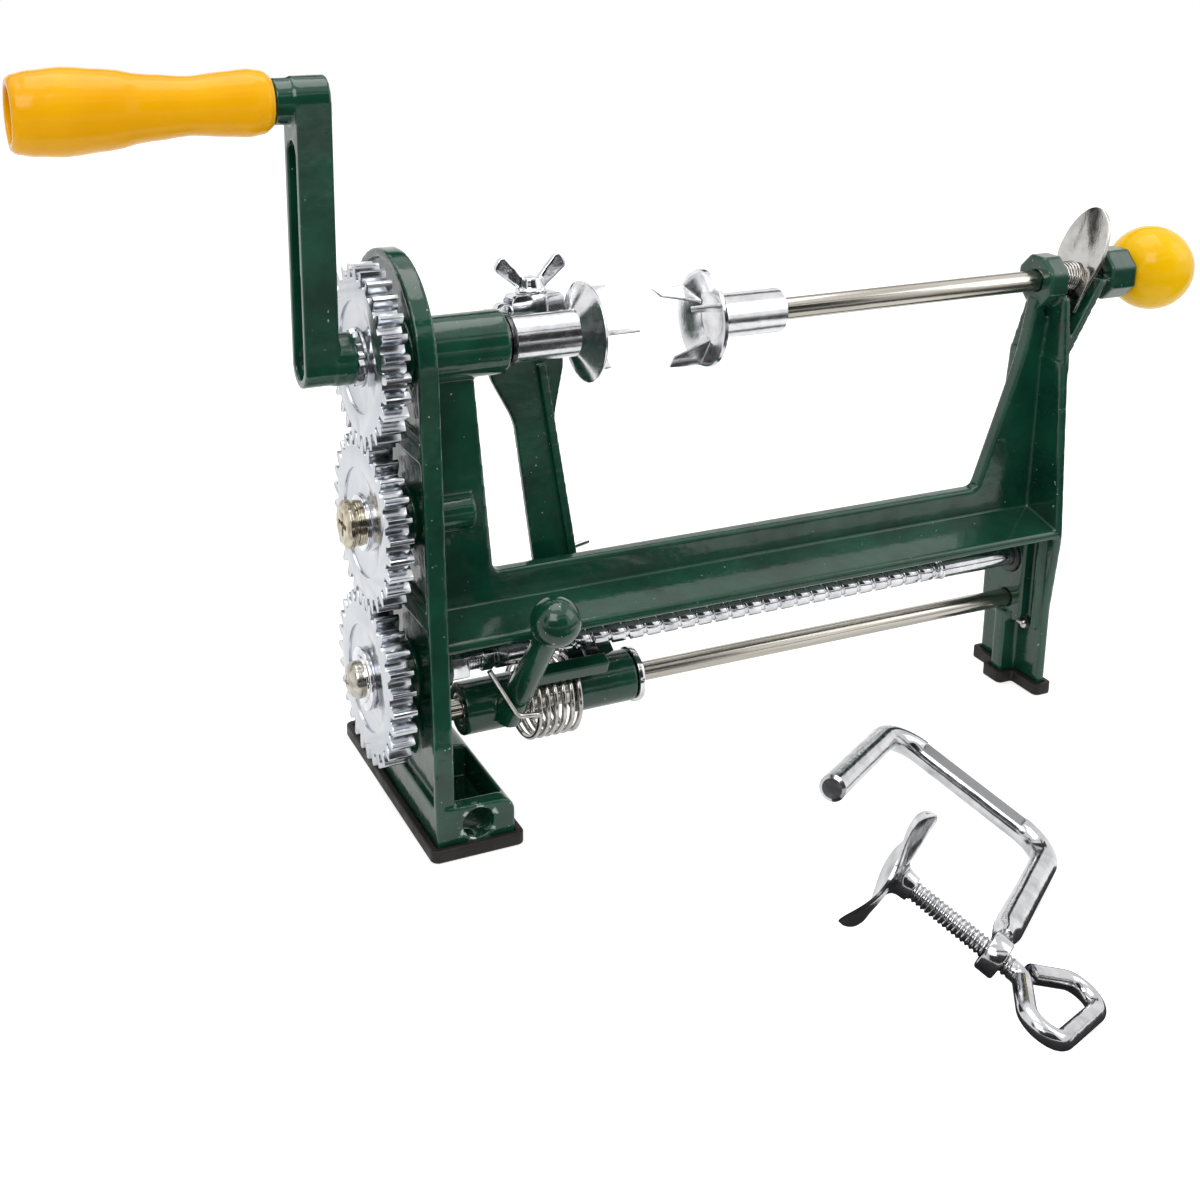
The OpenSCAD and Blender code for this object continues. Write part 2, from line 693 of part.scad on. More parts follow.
module crank_screw() {
    color("silver") union() {
        turned(channel_floor, spindle_z) polygon(concat(
            [[0, 0], [0.5 * crank_head_d, 0]],
            [for (i = [0:6]) [0.5 * crank_head_d * cos(15 * i),
                              -0.3 * crank_head_l - 0.7 * crank_head_l * sin(15 * i)]]));
        rod_x(channel_floor - seat, spindle_z, crank_t, crank_screw_d);
    }
}

module spindle() {
    color("silver") difference() {
        rod_x(spindle_left, spindle_z, spindle_right - spindle_left, spindle_d);
        rod_x(spindle_left - overrun, spindle_z, channel_floor + crank_t - spindle_left + 2 * overrun,
              crank_screw_d + seated);
    }
}

grip_right = arm_x0 - grip_boss_l - side_gap;
grip_left = grip_right - grip_l;
grip_well_d = 0.64 * grip_d;
grip_well_l = 0.16 * grip_l;
pin_head_d = 1.55 * grip_pin_d;

// Radius of the grip at the share s of its length, from the crank outwards
grip_shares = [0, 0.03, 0.09, 0.18, 0.32, 0.48, 0.64, 0.8, 0.92, 0.98, 1];
grip_sizes = [0.62, 0.74, 0.79, 0.75, 0.68, 0.76, 0.92, 1, 0.95, 0.88, 0.8];
function smooth(a, b, t) = a + (b - a) * (3 - 2 * t) * t * t;

module grip() {
    steps = len(grip_shares) - 1;
    color("#f2a90b") difference() {
        turned(grip_right, crank_z) polygon(concat(
            [[0, 0]],
            [for (i = [0:steps - 1], k = [0:2])
                let (t = k / 3, s = grip_shares[i] + (grip_shares[i + 1] - grip_shares[i]) * t)
                [grip_d / 2 * smooth(grip_sizes[i], grip_sizes[i + 1], t), -grip_l * s]],
            [[grip_d / 2 * grip_sizes[steps], -grip_l], [0, -grip_l]]));
        rod_x(grip_left - overrun, crank_z, grip_l + 2 * overrun, grip_pin_d + running);
        rod_x(grip_left - overrun, crank_z, grip_well_l + overrun, grip_well_d);
    }
}

module grip_pin() {
    pin_left = grip_left + grip_well_l - side_gap;
    color("#b9b3a6") union() {
        rod_x(pin_left, crank_z, arm_x1 - pin_left - 0.3 * crank_t, grip_pin_d);
        rod_x(pin_left - 0.45 * grip_pin_d, crank_z, 0.45 * grip_pin_d + seat, pin_head_d);
    }
}

/* Chucks */

disc_r = disc_d / 2;
drive_disc_x = spindle_right + dish_depth;
tail_disc_x = drive_disc_x + disc_gap;
tail_sleeve_l = 1.1 * sleeve_l;
// How far each chuck happens to be turned, from a blade pointing straight up
drive_turn = 79;
tail_turn = 180;

// One blade of a chuck, standing in a radial plane and pointing along X
module prong() {
    along_y(-sheet_t / 2, sheet_t) polygon([
        [-0.7 * dish_depth, 0.46 * disc_r], [-0.45 * dish_depth, 0.7 * disc_r],
        [-0.02 * dish_depth, 0.97 * disc_r], [0.16 * prong_l, 0.97 * disc_r],
        [prong_l, 0.94 * disc_r], [0.86 * prong_l, 0.74 * disc_r]]);
}

// Dished disc, its mouth towards +X and its rim at X zero
module dish() {
    rotate([0, 90, 0]) rotate_extrude() polygon(concat(
        [[0, -dish_depth]],
        [for (i = [0:8]) let (s = i / 8)
            [0.42 * disc_r + 0.58 * disc_r * s, -dish_depth * (1 - s) * (1 - 0.25 * s)]],
        [for (i = [8:-1:0]) let (s = i / 8)
            [0.42 * disc_r + (0.58 * disc_r - sheet_t * 0.3) * s - 0.1 * sheet_t,
             -dish_depth * (1 - s) * (1 - 0.25 * s) + sheet_t * (1 - 0.1 * s)]],
        [[0, sheet_t - dish_depth]]));
}

module chuck(l, bore, depth, turn) {
    difference() {
        union() {
            dish();
            rotate([turn, 0, 0]) for (i = [0:prongs - 1])
                rotate([360 * i / prongs, 0, 0]) prong();
            translate([-dish_depth - l, 0, 0]) rotate([0, 90, 0])
                cylinder(h = l + sheet_t / 2, d = sleeve_d);
        }
        translate([-dish_depth - l - overrun, 0, 0]) rotate([0, 90, 0])
            cylinder(h = depth + overrun, d = bore);
    }
}

module drive_chuck() {
    color("silver") translate([drive_disc_x, 0, spindle_z])
        chuck(sleeve_l, spindle_d + seated, sleeve_l, drive_turn);
}

module tail_chuck() {
    color("silver") translate([tail_disc_x, 0, spindle_z]) mirror([1, 0, 0])
        chuck(tail_sleeve_l, tail_rod_d + running, 0.9 * tail_sleeve_l, tail_turn);
}

/* Leadscrew */

nut_x = plate_t + screw_boss_l + running;
nut_l = 0.75 * screw_d;
nut_flats = 1.5 * screw_d;
neck_x = nut_x + nut_l + 0.65 * screw_d;
collar_end = neck_x + 1.8 * screw_d;
groove_x = collar_end + overrun;
groove_end = frame_l - 4.6 * screw_d;
end_head_d = 1.48 * screw_d;
end_washer_t = 0.15 * gear_t;
end_washer_d = 1.7 * end_head_d;
end_head_l = 0.38 * end_head_d;
end_shank_d = 0.45 * screw_d;
end_shank_l = 1.5 * gear_t;

/* The screw between its journals is one skin, wound as a row of four points to each step of
   a turn: foot of the groove, far side of the groove, near edge of the land, far edge. */
turn_steps = 16;
row_shares = [0, 0.16, 0.22, 0.94];
groove_turns = floor((groove_end - groove_x) / screw_lead) - 1;
rows = groove_turns * turn_steps;
land_r = screw_d / 2;
groove_r = land_r - groove_depth;
skin_end = groove_x + (groove_turns + 1) * screw_lead;

function on_skin(x, r, i) =
    let (a = 360 * i / turn_steps) [x, r * cos(a), screw_z + r * sin(a)];
function at(i, k) = k == 4 ? at(i + turn_steps, 0)
    : 2 * turn_steps + (i <= rows ? 4 * i + k : 3 * rows + 3 + i);

module grooved_part() {
    n = turn_steps;
    m = rows;
    pts = concat(
        [for (i = [0:n - 1]) on_skin(groove_x - overrun, groove_r, i)],
        [for (i = [0:n - 1]) on_skin(skin_end + overrun, groove_r, i)],
        [for (i = [0:m], k = [0:3])
            on_skin(groove_x + screw_lead * (i / n + row_shares[k]), k < 2 ? groove_r : land_r, i)],
        [for (i = [m + 1:m + n]) on_skin(groove_x + screw_lead * i / n, groove_r, i)]);
    side = [for (i = [0:m - 1], k = [0:3])
        each [[at(i, k), at(i, k + 1), at(i + 1, k)], [at(i, k + 1), at(i + 1, k + 1), at(i + 1, k)]]];
    start = [for (i = [0:n - 2]) each [[i, at(i, 0), i + 1], [at(i, 0), at(i + 1, 0), i + 1]]];
    start_fan = [for (p = [[at(n, 0), at(0, 1)], [at(0, 1), at(0, 0)], [at(0, 0), 0], [0, n - 1]])
        [at(n - 1, 0), p[0], p[1]]];
    start_wall = [[at(0, 2), at(0, 1), at(0, 3)], [at(0, 1), at(n, 0), at(0, 3)]];
    stop = [for (i = [1:n - 1]) let (e = n + i, f = n + (i + 1) % n)
        each [[at(m + i, 0), e, at(m + i + 1, 0)], [e, f, at(m + i + 1, 0)]]];
    stop_fan = [for (p = [[at(m, 0), at(m, 1)], [at(m, 1), at(m + n, 0)], [at(m + n, 0), n], [n, n + 1]])
        [at(m + 1, 0), p[0], p[1]]];
    stop_wall = [[at(m, 1), at(m, 2), at(m, 3)], [at(m, 1), at(m, 3), at(m + n, 0)]];
    caps = [for (k = [1:n - 2]) each [[0, k, k + 1], [n, n + k + 1, n + k]]];
    polyhedron(points = pts, faces = concat(side, start, start_fan, start_wall,
                                            stop, stop_fan, stop_wall, caps));
}

module leadscrew() {
    left = gear_front + end_washer_t / 2;
    color("silver") difference() {
        union() {
            rod_x(left, screw_z, nut_x - left + overrun, journal_d);
            rod_x(nut_x, screw_z, groove_x - overrun / 2 - nut_x, screw_d);
            rod_x(neck_x, screw_z, collar_end - neck_x, 1.2 * screw_d);
            grooved_part();
            rod_x(skin_end + overrun / 2, screw_z, screw_right - skin_end - overrun / 2 - seat, screw_d);
            // Narrow ring where the groove ends
            rod_x(skin_end + overrun, screw_z, 0.15 * screw_d, 1.08 * screw_d);
        }
        rod_x(left - overrun, screw_z, end_shank_l + overrun, end_shank_d + seated);
    }
}

module leadscrew_nut() {
    color("silver") difference() {
        hex_x(nut_x, screw_z, nut_l, nut_flats);
        rod_x(nut_x - overrun, screw_z, nut_l + 2 * overrun, screw_d + seated);
    }
}

end_face = gear_front - end_washer_t;

module leadscrew_washer() {
    color("silver") difference() {
        union() {
            rod_x(end_face, screw_z, end_washer_t - seat, end_washer_d);
            rod_x(end_face - 0.5 * end_washer_t, screw_z, end_washer_t, 0.75 * end_washer_d);
        }
        rod_x(end_face - overrun, screw_z, end_washer_t + 2 * overrun, end_shank_d + seated);
    }
}

module leadscrew_end_screw() {
    x = end_face - 0.5 * end_washer_t - seat;
    color("silver") union() {
        turned(x, screw_z) polygon(concat(
            [[0, 0], [0.5 * end_head_d, 0]],
            [for (i = [0:6]) [0.5 * end_head_d * cos(15 * i),
                              -0.35 * end_head_l - 0.65 * end_head_l * sin(15 * i)]]));
        rod_x(x - seat, screw_z, end_shank_l, end_shank_d);
    }
}

/* Carriage */

lever_x = carriage_x;
hub_x = carriage_x + end_sleeve_l + spring_space;
hub_l = 1.07 * end_sleeve_l;
tube_d = 0.6 * end_sleeve_d;
ring_x = hub_x + hub_l + side_gap;
ring_t = 0.1 * end_sleeve_l;
tube_l = ring_x + ring_t - carriage_x;

module carriage_bush() {
    color("#6d6a64") difference() {
        rod_x(carriage_x, rod_z, tube_l, tube_d);
        rod_x(carriage_x - overrun, rod_z, tube_l + 2 * overrun, rod_d + running);
    }
}

module carriage_ring() {
    color("silver") difference() {
        rod_x(ring_x, rod_z, ring_t, 1.08 * end_sleeve_d);
        rod_x(ring_x - overrun, rod_z, ring_t + 2 * overrun, tube_d + seated);
    }
}

// A straight tapered bar between two points
module strut(a, b, d1, d2) {
    way = b - a;
    translate(a) rotate([0, acos(way[2] / norm(way)), atan2(way[1], way[0])])
        cylinder(h = norm(way), d1 = d1, d2 = d2);
}

stem_foot = [lever_x + 0.72 * end_sleeve_l, -0.42 * end_sleeve_d, rod_z - 0.1 * end_sleeve_d];
ball_y = -flange_front - 0.88 * lever_ball_d;
ball_at = [lever_x + 0.97 * end_sleeve_l, ball_y, beam_bottom + 0.75 * lever_ball_d];
bar_w = 0.28 * end_sleeve_d;
bar_reach = 1.52 * screw_d;
bar_angle = 24;
bar_end = hub_x + 0.36 * hub_l;

// Moves its children to the leadscrew, with -Y pointing at the follower's bar
module at_follower() {
    translate([0, 0, screw_z]) rotate([bar_angle, 0, 0]) children();
}

module carriage_lever() {
    color("darkgreen") difference() {
        union() {
            rod_x(lever_x, rod_z, end_sleeve_l, end_sleeve_d);
            strut(stem_foot, ball_at, 0.62 * lever_ball_d, 0.46 * lever_ball_d);
            translate(ball_at) sphere(d = lever_ball_d);
            at_follower() translate([stem_foot[0], -bar_reach - bar_w / 2, -bar_w / 2])
                cube([bar_end - stem_foot[0], bar_w, bar_w]);
        }
        rod_x(lever_x - overrun, rod_z, end_sleeve_l + 2 * overrun, tube_d + running);
    }
}

follower_w = 0.72 * screw_lead;
follower_gap = 0.3;

module follower() {
    reach = land_r + follower_gap;
    color("#303234") at_follower() along_x(bar_end - 1.2 * follower_w, follower_w) polygon([
        [-bar_reach + bar_w / 2, -0.34 * bar_w], [-bar_reach + bar_w / 2, 0.34 * bar_w],
        [-reach, 0.2 * bar_w], [-reach, -0.2 * bar_w]]);
}

/* Springs, with eight steps to a turn and six sides to the wire */

spring_steps = 8;
spring_sides = 6;

torsion_r = (torsion_d - torsion_wire) / 2;
torsion_drop = 0.85 * torsion_wire;
torsion_z = rod_z - torsion_drop;
torsion_x = lever_x + end_sleeve_l + 0.6 * torsion_wire;
torsion_l = spring_space - 1.4 * torsion_wire;
arm_back = 0.43 * end_sleeve_d + arm_t;

// A coil whose angle falls as it goes along X
function coil_down(x, z, l, r, turns, a0) =
    [for (i = [0:turns * spring_steps]) let (a = a0 - 360 * i / spring_steps)
        [x + l * i / (turns * spring_steps), r * cos(a), z + r * sin(a)]];

// Distance from a point to the straight piece between two others
function apart(p, a, b) =
    let (t = max(0, min(1, (p - a) * (b - a) / ((b - a) * (b - a))))) norm(p - a - t * (b - a));

// Least gap of a wire to itself, past the next few points along it
function own_gap(path, d) =
    min([for (i = [0:len(path) - 1], j = [0:len(path) - 2])
        if (j >= i + 6 || j + 1 <= i - 6) apart(path[i], path[j], path[j + 1])]) - d;

torsion_end_x = torsion_x + torsion_l;
leg_y = (arm_back + torsion_wire / 2 + seat) / cos(arm_lean);
function behind_arm(z) = leg_y + z * tan(arm_lean) + seat;
leg_low = torsion_z + torsion_r - rod_z;
leg_high = 0.3 * arm_l;
hook_y = -torsion_d / 2 - 2.8 * torsion_wire;
hook_z = rod_z + 0.2 * end_sleeve_d;
hook = [
    [lever_x + 0.18 * end_sleeve_l, hook_y, rod_z + 1.22 * end_sleeve_d],
    [lever_x + 0.62 * end_sleeve_l, hook_y, hook_z],
    [torsion_x + 0.4 * torsion_wire, hook_y, hook_z - 0.5 * torsion_wire]];
leg = [
    [torsion_end_x, 0, torsion_z + torsion_r],
    [torsion_end_x, behind_arm(leg_low) + 0.6 * torsion_wire, torsion_z + torsion_r],
    [torsion_end_x - 0.56 * spring_space, behind_arm(leg_high), rod_z + leg_high],
    [torsion_end_x + 0.73 * spring_space, behind_arm(1.13 * leg_high), rod_z + 1.13 * leg_high]];
torsion_path = concat(
    [hook[0]],
    bend(hook[0], hook[1], hook[2], 2.2 * torsion_wire),
    bend(hook[1], hook[2], [torsion_x, -torsion_r, torsion_z], 1.2 * torsion_wire, 4),
    coil_down(torsion_x, torsion_z, torsion_l, torsion_r, torsion_turns + 0.25, 180),
    bend(leg[0], leg[1], leg[2], 1.6 * torsion_wire, 4),
    bend(leg[1], leg[2], leg[3], 1.6 * torsion_wire, 4),
    [leg[3]]);
echo(torsion_gap = own_gap(torsion_path, torsion_wire));

module torsion_spring() {
    color("silver") wire(torsion_path, torsion_wire, spring_sides, [0, 0, 1]);
}

/* Peeling arm: drawn upright on the guide rod, then leaned back */

plate_y = arm_back - arm_t;
head_z = 0.83 * arm_l;
waist_z = 0.7 * arm_l;
head_x = hub_x - 0.39 * hub_l;
head_half = 0.68 * end_sleeve_l;
waist_x = hub_x - 0.28 * hub_l;
top_z = 0.97 * arm_l;
lug_t = 0.06 * arm_l;
lug_depth = 0.46 * end_sleeve_d;
plate_w = 0.4 * end_sleeve_d;
cap_h = 0.35 * end_sleeve_d;
cap_wall = sheet_t;
bolt_x = head_x + 0.37 * head_half;
cap_l = 0.92 * end_sleeve_l;
bolt_y = plate_y + arm_t / 2 + lug_depth / 2;
bolt_d = 0.22 * end_sleeve_d;

module leaned() {
    translate([0, 0, rod_z]) rotate([-arm_lean, 0, 0]) children();
}

module peel_arm() {
    foot_right = hub_x + hub_l - side_gap;
    color("darkgreen") difference() {
        union() {
            rod_x(hub_x, rod_z, hub_l, end_sleeve_d);
            leaned() {
                along_y(plate_y, arm_t) polygon(rounded([
                    [hub_x + 0.02 * hub_l, -0.3 * end_sleeve_d, 0],
                    [foot_right, -0.3 * end_sleeve_d, 0],
                    [foot_right, 0.04 * arm_l, 0],
                    [waist_x + 0.28 * end_sleeve_l + arm_waist / 2, 0.31 * arm_l, 0],
                    [waist_x + arm_waist / 2, waist_z, 1.5 * arm_waist],
                    [head_x + head_half, head_z, 1.5 * arm_waist],
                    [head_x + head_half, top_z, 0],
                    [head_x - head_half, top_z, 0],
                    [head_x - head_half, head_z, 1.5 * arm_waist],
                    [waist_x - arm_waist / 2, waist_z, 1.5 * arm_waist],
                    [hub_x - 0.34 * hub_l, 0.25 * arm_l, 0],
                    [hub_x + 0.02 * hub_l, 0.14 * arm_l, 0]]));
                // Rib along the middle of the front
                along_y(plate_y - 0.7 * arm_t, arm_t) polygon([
                    [hub_x + 0.42 * hub_l, 0.04 * arm_l], [hub_x + 0.56 * hub_l, 0.04 * arm_l],
                    [head_x + 0.45 * arm_waist, head_z + 0.01 * arm_l],
                    [head_x + 0.25 * arm_waist, head_z + 0.01 * arm_l]]);
                // Foot of the plate, where it meets the hub
                translate([hub_x + 0.02 * hub_l, 0.3 * end_sleeve_d, -0.3 * end_sleeve_d])
                    cube([0.9 * hub_l, plate_y - 0.2 * end_sleeve_d, 0.3 * end_sleeve_d]);
                // Lug at the top, under the blade
                translate([head_x - head_half, plate_y + seat, top_z - lug_t])
                    cube([2 * head_half, lug_depth + arm_t, lug_t]);
            }
        }
        rod_x(hub_x - overrun, rod_z, hub_l + 2 * overrun, tube_d + running);
        leaned() translate([bolt_x, bolt_y, top_z - lug_t - overrun])
            cylinder(h = lug_t + 2 * overrun, d = bolt_d + seated);
    }
}

blade_z = top_z + seat;

// Flat bar with a slot for the bolt, bent down at the blade's end
module blade_plate() {
    slot = 1.5 * bolt_d;
    color("silver") leaned() difference() {
        translate([bolt_x - 0.86 * cap_l, bolt_y - plate_w / 2, blade_z])
            cube([1.35 * cap_l, plate_w, plate_w * 0.25]);
        for (x = [-slot / 2, slot / 2])
            translate([bolt_x + x, bolt_y, blade_z - overrun])
                cylinder(h = plate_w, d = bolt_d + running);
        translate([bolt_x - slot / 2, bolt_y - bolt_d / 2 - shaft_play, blade_z - overrun])
            cube([slot, bolt_d + running, plate_w]);
    }
}

// Small arched cutter that reaches towards the fruit
module blade() {
    r = 0.42 * plate_w;
    x = bolt_x - 0.86 * cap_l + r;
    y = bolt_y - plate_w / 2 - seat;
    color("silver") leaned() translate([x, y, blade_z + 0.25 * plate_w]) rotate([90, 0, 0])
        linear_extrude(0.7 * plate_w) difference() {
            circle(r = r);
            circle(r = r - 0.6 * sheet_t);
            translate([-2 * r, -2 * r]) square([4 * r, 1.7 * r]);
        }
}

// Sheet cap over the bar, open below
module blade_cap() {
    l = cap_l;
    depth = plate_w + 2 * cap_wall + seated;
    color("silver") leaned() difference() {
        along_y(bolt_y - depth / 2, depth) polygon(rounded([
            [bolt_x - 0.46 * l, blade_z, 0], [bolt_x + 0.54 * l, blade_z, 0],
            [bolt_x + 0.54 * l, blade_z + cap_h, 0.3 * cap_h],
            [bolt_x - 0.46 * l, blade_z + cap_h, 0.45 * cap_h]]));
        translate([bolt_x - l, bolt_y - plate_w / 2 - seat, blade_z - overrun])
            cube([2 * l, plate_w + seated, cap_h - cap_wall + overrun]);
        translate([bolt_x, bolt_y, blade_z]) cylinder(h = 2 * cap_h, d = bolt_d + running);
    }
}

wing_z = blade_z + cap_h + seat;
wing_l = 0.78 * end_sleeve_d;
wing_t = 0.15 * end_sleeve_d;
wing_base_d = 0.6 * end_sleeve_d;

module wing_bolt() {
    color("silver") leaned() translate([bolt_x, bolt_y, wing_z]) union() {
        rotate_extrude() polygon([
            [0, 0], [0.5 * wing_base_d, 0], [0.5 * wing_base_d, 0.12 * wing_base_d],
            [0.42 * wing_base_d, 0.16 * wing_base_d], [0.34 * wing_base_d, 0.5 * wing_base_d],
            [0, 0.56 * wing_base_d]]);
        translate([0, 0, -cap_h - lug_t]) cylinder(h = cap_h + lug_t + overrun, d = bolt_d);
        for (side = [0, 180]) rotate(side) rotate([90, 0, 0])
            translate([0, 0, -wing_t / 2]) linear_extrude(wing_t) polygon(rounded([
                [0.2 * wing_base_d, 0.15 * wing_base_d, 0],
                [0.42 * wing_base_d, 0.14 * wing_base_d, 0],
                [0.95 * wing_l, 0.62 * wing_l, 0.15 * wing_l],
                [0.75 * wing_l, 1.02 * wing_l, 0.15 * wing_l],
                [0.24 * wing_base_d, 0.5 * wing_base_d, 0]]));
    }
}

/* Tail */

ball_flat = 0.33 * ball_d / 2;
ball_x = far_boss_x + far_boss_l + sqrt(ball_d * ball_d / 4 - ball_flat * ball_flat);
tail_rod_x = tail_disc_x + dish_depth + 0.1 * tail_sleeve_l + side_gap;

module tail_rod() {
    color("#b9b3a6") rod_x(tail_rod_x, spindle_z, ball_x - tail_rod_x, tail_rod_d);
}

module ball_knob() {
    color("#f2c40b") difference() {
        translate([ball_x, 0, spindle_z]) rotate([0, 90, 0]) sphere(d = ball_d);
        rod_x(ball_x - ball_d, spindle_z, ball_d + seat, tail_rod_d + seated);
        translate([far_boss_x + far_boss_l - ball_d, -ball_d, spindle_z - ball_d])
            cube([ball_d, 2 * ball_d, 2 * ball_d]);
    }
}

latch_foot_x = end_x + 0.563 * tail_boss_w;
latch_foot_z = spindle_z - 0.668 * tail_boss_w;
latch_hole_d = (tail_rod_d + 2 * latch_play + latch_t * sin(latch_lean)) / cos(latch_lean);
latch_foot_shares = [[0.67, 0], [0.8, 0.29], [0.93, 0.435]];

// Outline of the latch plate: straight sides that spread, under half an ellipse
latch_side = concat(
    [for (p = latch_foot_shares) [p[0] * latch_w / 2, p[1] * latch_h]],
    [for (i = [0:arc_steps / 2]) let (a = 90 * i / (arc_steps / 2))
        [cos(a) * latch_w / 2, (0.53 + 0.47 * sin(a)) * latch_h]]);

module latch_plate() {
    reach = (spindle_z - latch_foot_z - latch_t / 2 * sin(latch_lean)) / cos(latch_lean);
    n = len(latch_side) - 1;
    color("silver") translate([latch_foot_x, 0, latch_foot_z]) rotate([0, latch_lean, 0])
        difference() {
            along_x(-latch_t, latch_t) polygon(concat(
                latch_side, [for (i = [n - 1:-1:0]) [-latch_side[i][0], latch_side[i][1]]]));
            rod_x(-latch_t - overrun, reach, latch_t + 2 * overrun, latch_hole_d);
        }
}

latch_spring_r = (latch_spring_d - latch_wire) / 2;
spring_left = near_boss_x + near_boss_l + latch_wire / 2 + seat;

// The coil fans out from the flat boss to the leaning plate
function latch_x(z, share) =
    let (right = latch_foot_x + (z - latch_foot_z) * tan(latch_lean)
             - (latch_t + latch_wire / 2 + seat) / cos(latch_lean))
    spring_left + (right - spring_left) * share;
latch_steps = latch_turns * spring_steps;
latch_path = concat(
    [[spring_left, latch_spring_r, spindle_z - latch_wire]],
    [for (i = [0:latch_steps])
        let (a = 360 * i / spring_steps, z = spindle_z + latch_spring_r * sin(a))
        [latch_x(z, i / latch_steps), latch_spring_r * cos(a), z]],
    [[latch_x(spindle_z + latch_wire, 1), latch_spring_r, spindle_z + latch_wire]]);
echo(latch_gap = own_gap(latch_path, latch_wire));

module latch_spring() {
    color("silver") wire(latch_path, latch_wire, spring_sides, [0, 1, 0]);
}

/* Clamp, laid down beside the peeler */

clamp_turn = [-26.6, -11.6, -140.9];
clamp_bend = 1.5 * clamp_rod_d;
eye_d = 2 * clamp_screw_d;
eye_t = 0.66 * clamp_rod_d;
pad_y = 0.48 * clamp_back;
screw_top = pad_y + 0.6 * clamp_screw_d;
screw_end = clamp_back + 0.9 * clamp_screw_d;

module clamped() {
    translate([clamp_x, -clamp_y, clamp_z]) rotate(clamp_turn) children();
}

module clamp_rod() {
    a = [clamp_arm, 0, 0];
    b = [0, 0, 0];
    c = [0, clamp_back, 0];
    d = [clamp_reach - 0.9 * eye_d, clamp_back, 0];
    color("silver") clamped() difference() {
        union() {
            wire(concat([a], bend(a, b, c, clamp_bend, 8), bend(b, c, d, clamp_bend, 8), [d]),
                 clamp_rod_d, 20, [0, 0, 1]);
            // Flattened end with the eye that the screw runs through
            translate([d[0] - 0.6 * clamp_rod_d, clamp_back - eye_t / 2, -0.4 * eye_d])
                cube([0.6 * clamp_rod_d + clamp_reach - d[0], eye_t, 0.8 * eye_d]);
            translate([clamp_reach, clamp_back + eye_t / 2, 0]) rotate([90, 0, 0])
                cylinder(h = eye_t, d = eye_d);
        }
        translate([clamp_reach, clamp_back + eye_t, 0]) rotate([90, 0, 0])
            cylinder(h = 2 * eye_t, d = clamp_screw_d + running);
        // Long flat pressed into the back
        translate([0, clamp_back / 2, 0]) rotate([0, 40, 0])
            translate([-1.32 * clamp_rod_d, -0.31 * clamp_back, -clamp_rod_d])
                cube([clamp_rod_d, 0.62 * clamp_back, 2 * clamp_rod_d]);
    }
}

// Screw whose lower end is bent round into a three-cornered handle
module clamp_screw() {
    a = [clamp_reach, screw_end - overrun, 0];
    b = [clamp_reach, screw_end + 0.6 * clamp_screw_d, 0];
    c = [clamp_reach + 6.2 * clamp_screw_d, screw_end + 2.6 * clamp_screw_d, 0];
    d = [clamp_reach - 6.4 * clamp_screw_d, screw_end + 5 * clamp_screw_d, 0];
    e = [clamp_reach - 0.95 * clamp_screw_d, screw_end + 0.9 * clamp_screw_d, 0];
    color("silver") clamped() union() {
        translate([clamp_reach, screw_end, 0]) rotate([90, 0, 0])
            cylinder(h = screw_end - screw_top, d = clamp_screw_d);
        wire(concat([a], bend(a, b, c, 1.1 * handle_wire), bend(b, c, d, 1.1 * handle_wire),
                    bend(c, d, e, 1.1 * handle_wire), [e]), handle_wire, 14, [0, 0, 1]);
    }
}

pad_sheet = 0.1 * clamp_screw_d;
function pad_drop(s) = -0.14 * clamp_pad_d / 2 * s * s * (2 - s);

// Dished pressure pad with a socket for the screw's end
module clamp_pad() {
    r = clamp_pad_d / 2;
    color("silver") clamped() translate([clamp_reach, pad_y, 0]) rotate([-90, 0, 0])
        difference() {
            rotate_extrude() polygon(concat(
                [[0, -pad_sheet]],
                [for (i = [0:8]) let (s = i / 8) [r * (0.2 + 0.8 * s), pad_drop(s) - pad_sheet]],
                [for (i = [8:-1:0]) let (s = i / 8) [r * (0.2 + 0.8 * s), pad_drop(s) + pad_sheet]],
                [[0.75 * clamp_screw_d, 0.9 * clamp_screw_d], [0, 0.9 * clamp_screw_d]]));
            translate([0, 0, 0.4 * clamp_screw_d])
                cylinder(h = clamp_screw_d, d = clamp_screw_d + running);
        }
}

frame_casting();
left_foot_pad();
right_foot_pad();
guide_rod();
spindle_bush();
idler_screw();
idler_washer();
leadscrew_bush();
clamp_rod();
crank_arm();
crank_screw();
spindle();
drive_gear();
drive_chuck();
grip_pin();
grip();
idler_gear();
leadscrew();
leadscrew_gear();
leadscrew_nut();
leadscrew_washer();
leadscrew_end_screw();
carriage_bush();
carriage_ring();
carriage_lever();
follower();
torsion_spring();
peel_arm();
blade_plate();
blade();
blade_cap();
wing_bolt();
tail_rod();
ball_knob();
tail_chuck();
latch_plate();
latch_spring();
clamp_screw();
clamp_pad();
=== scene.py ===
"""Finishes, soft cast forms, threads and springs for the hand cranked fruit peeler, with its studio."""

import json
import math

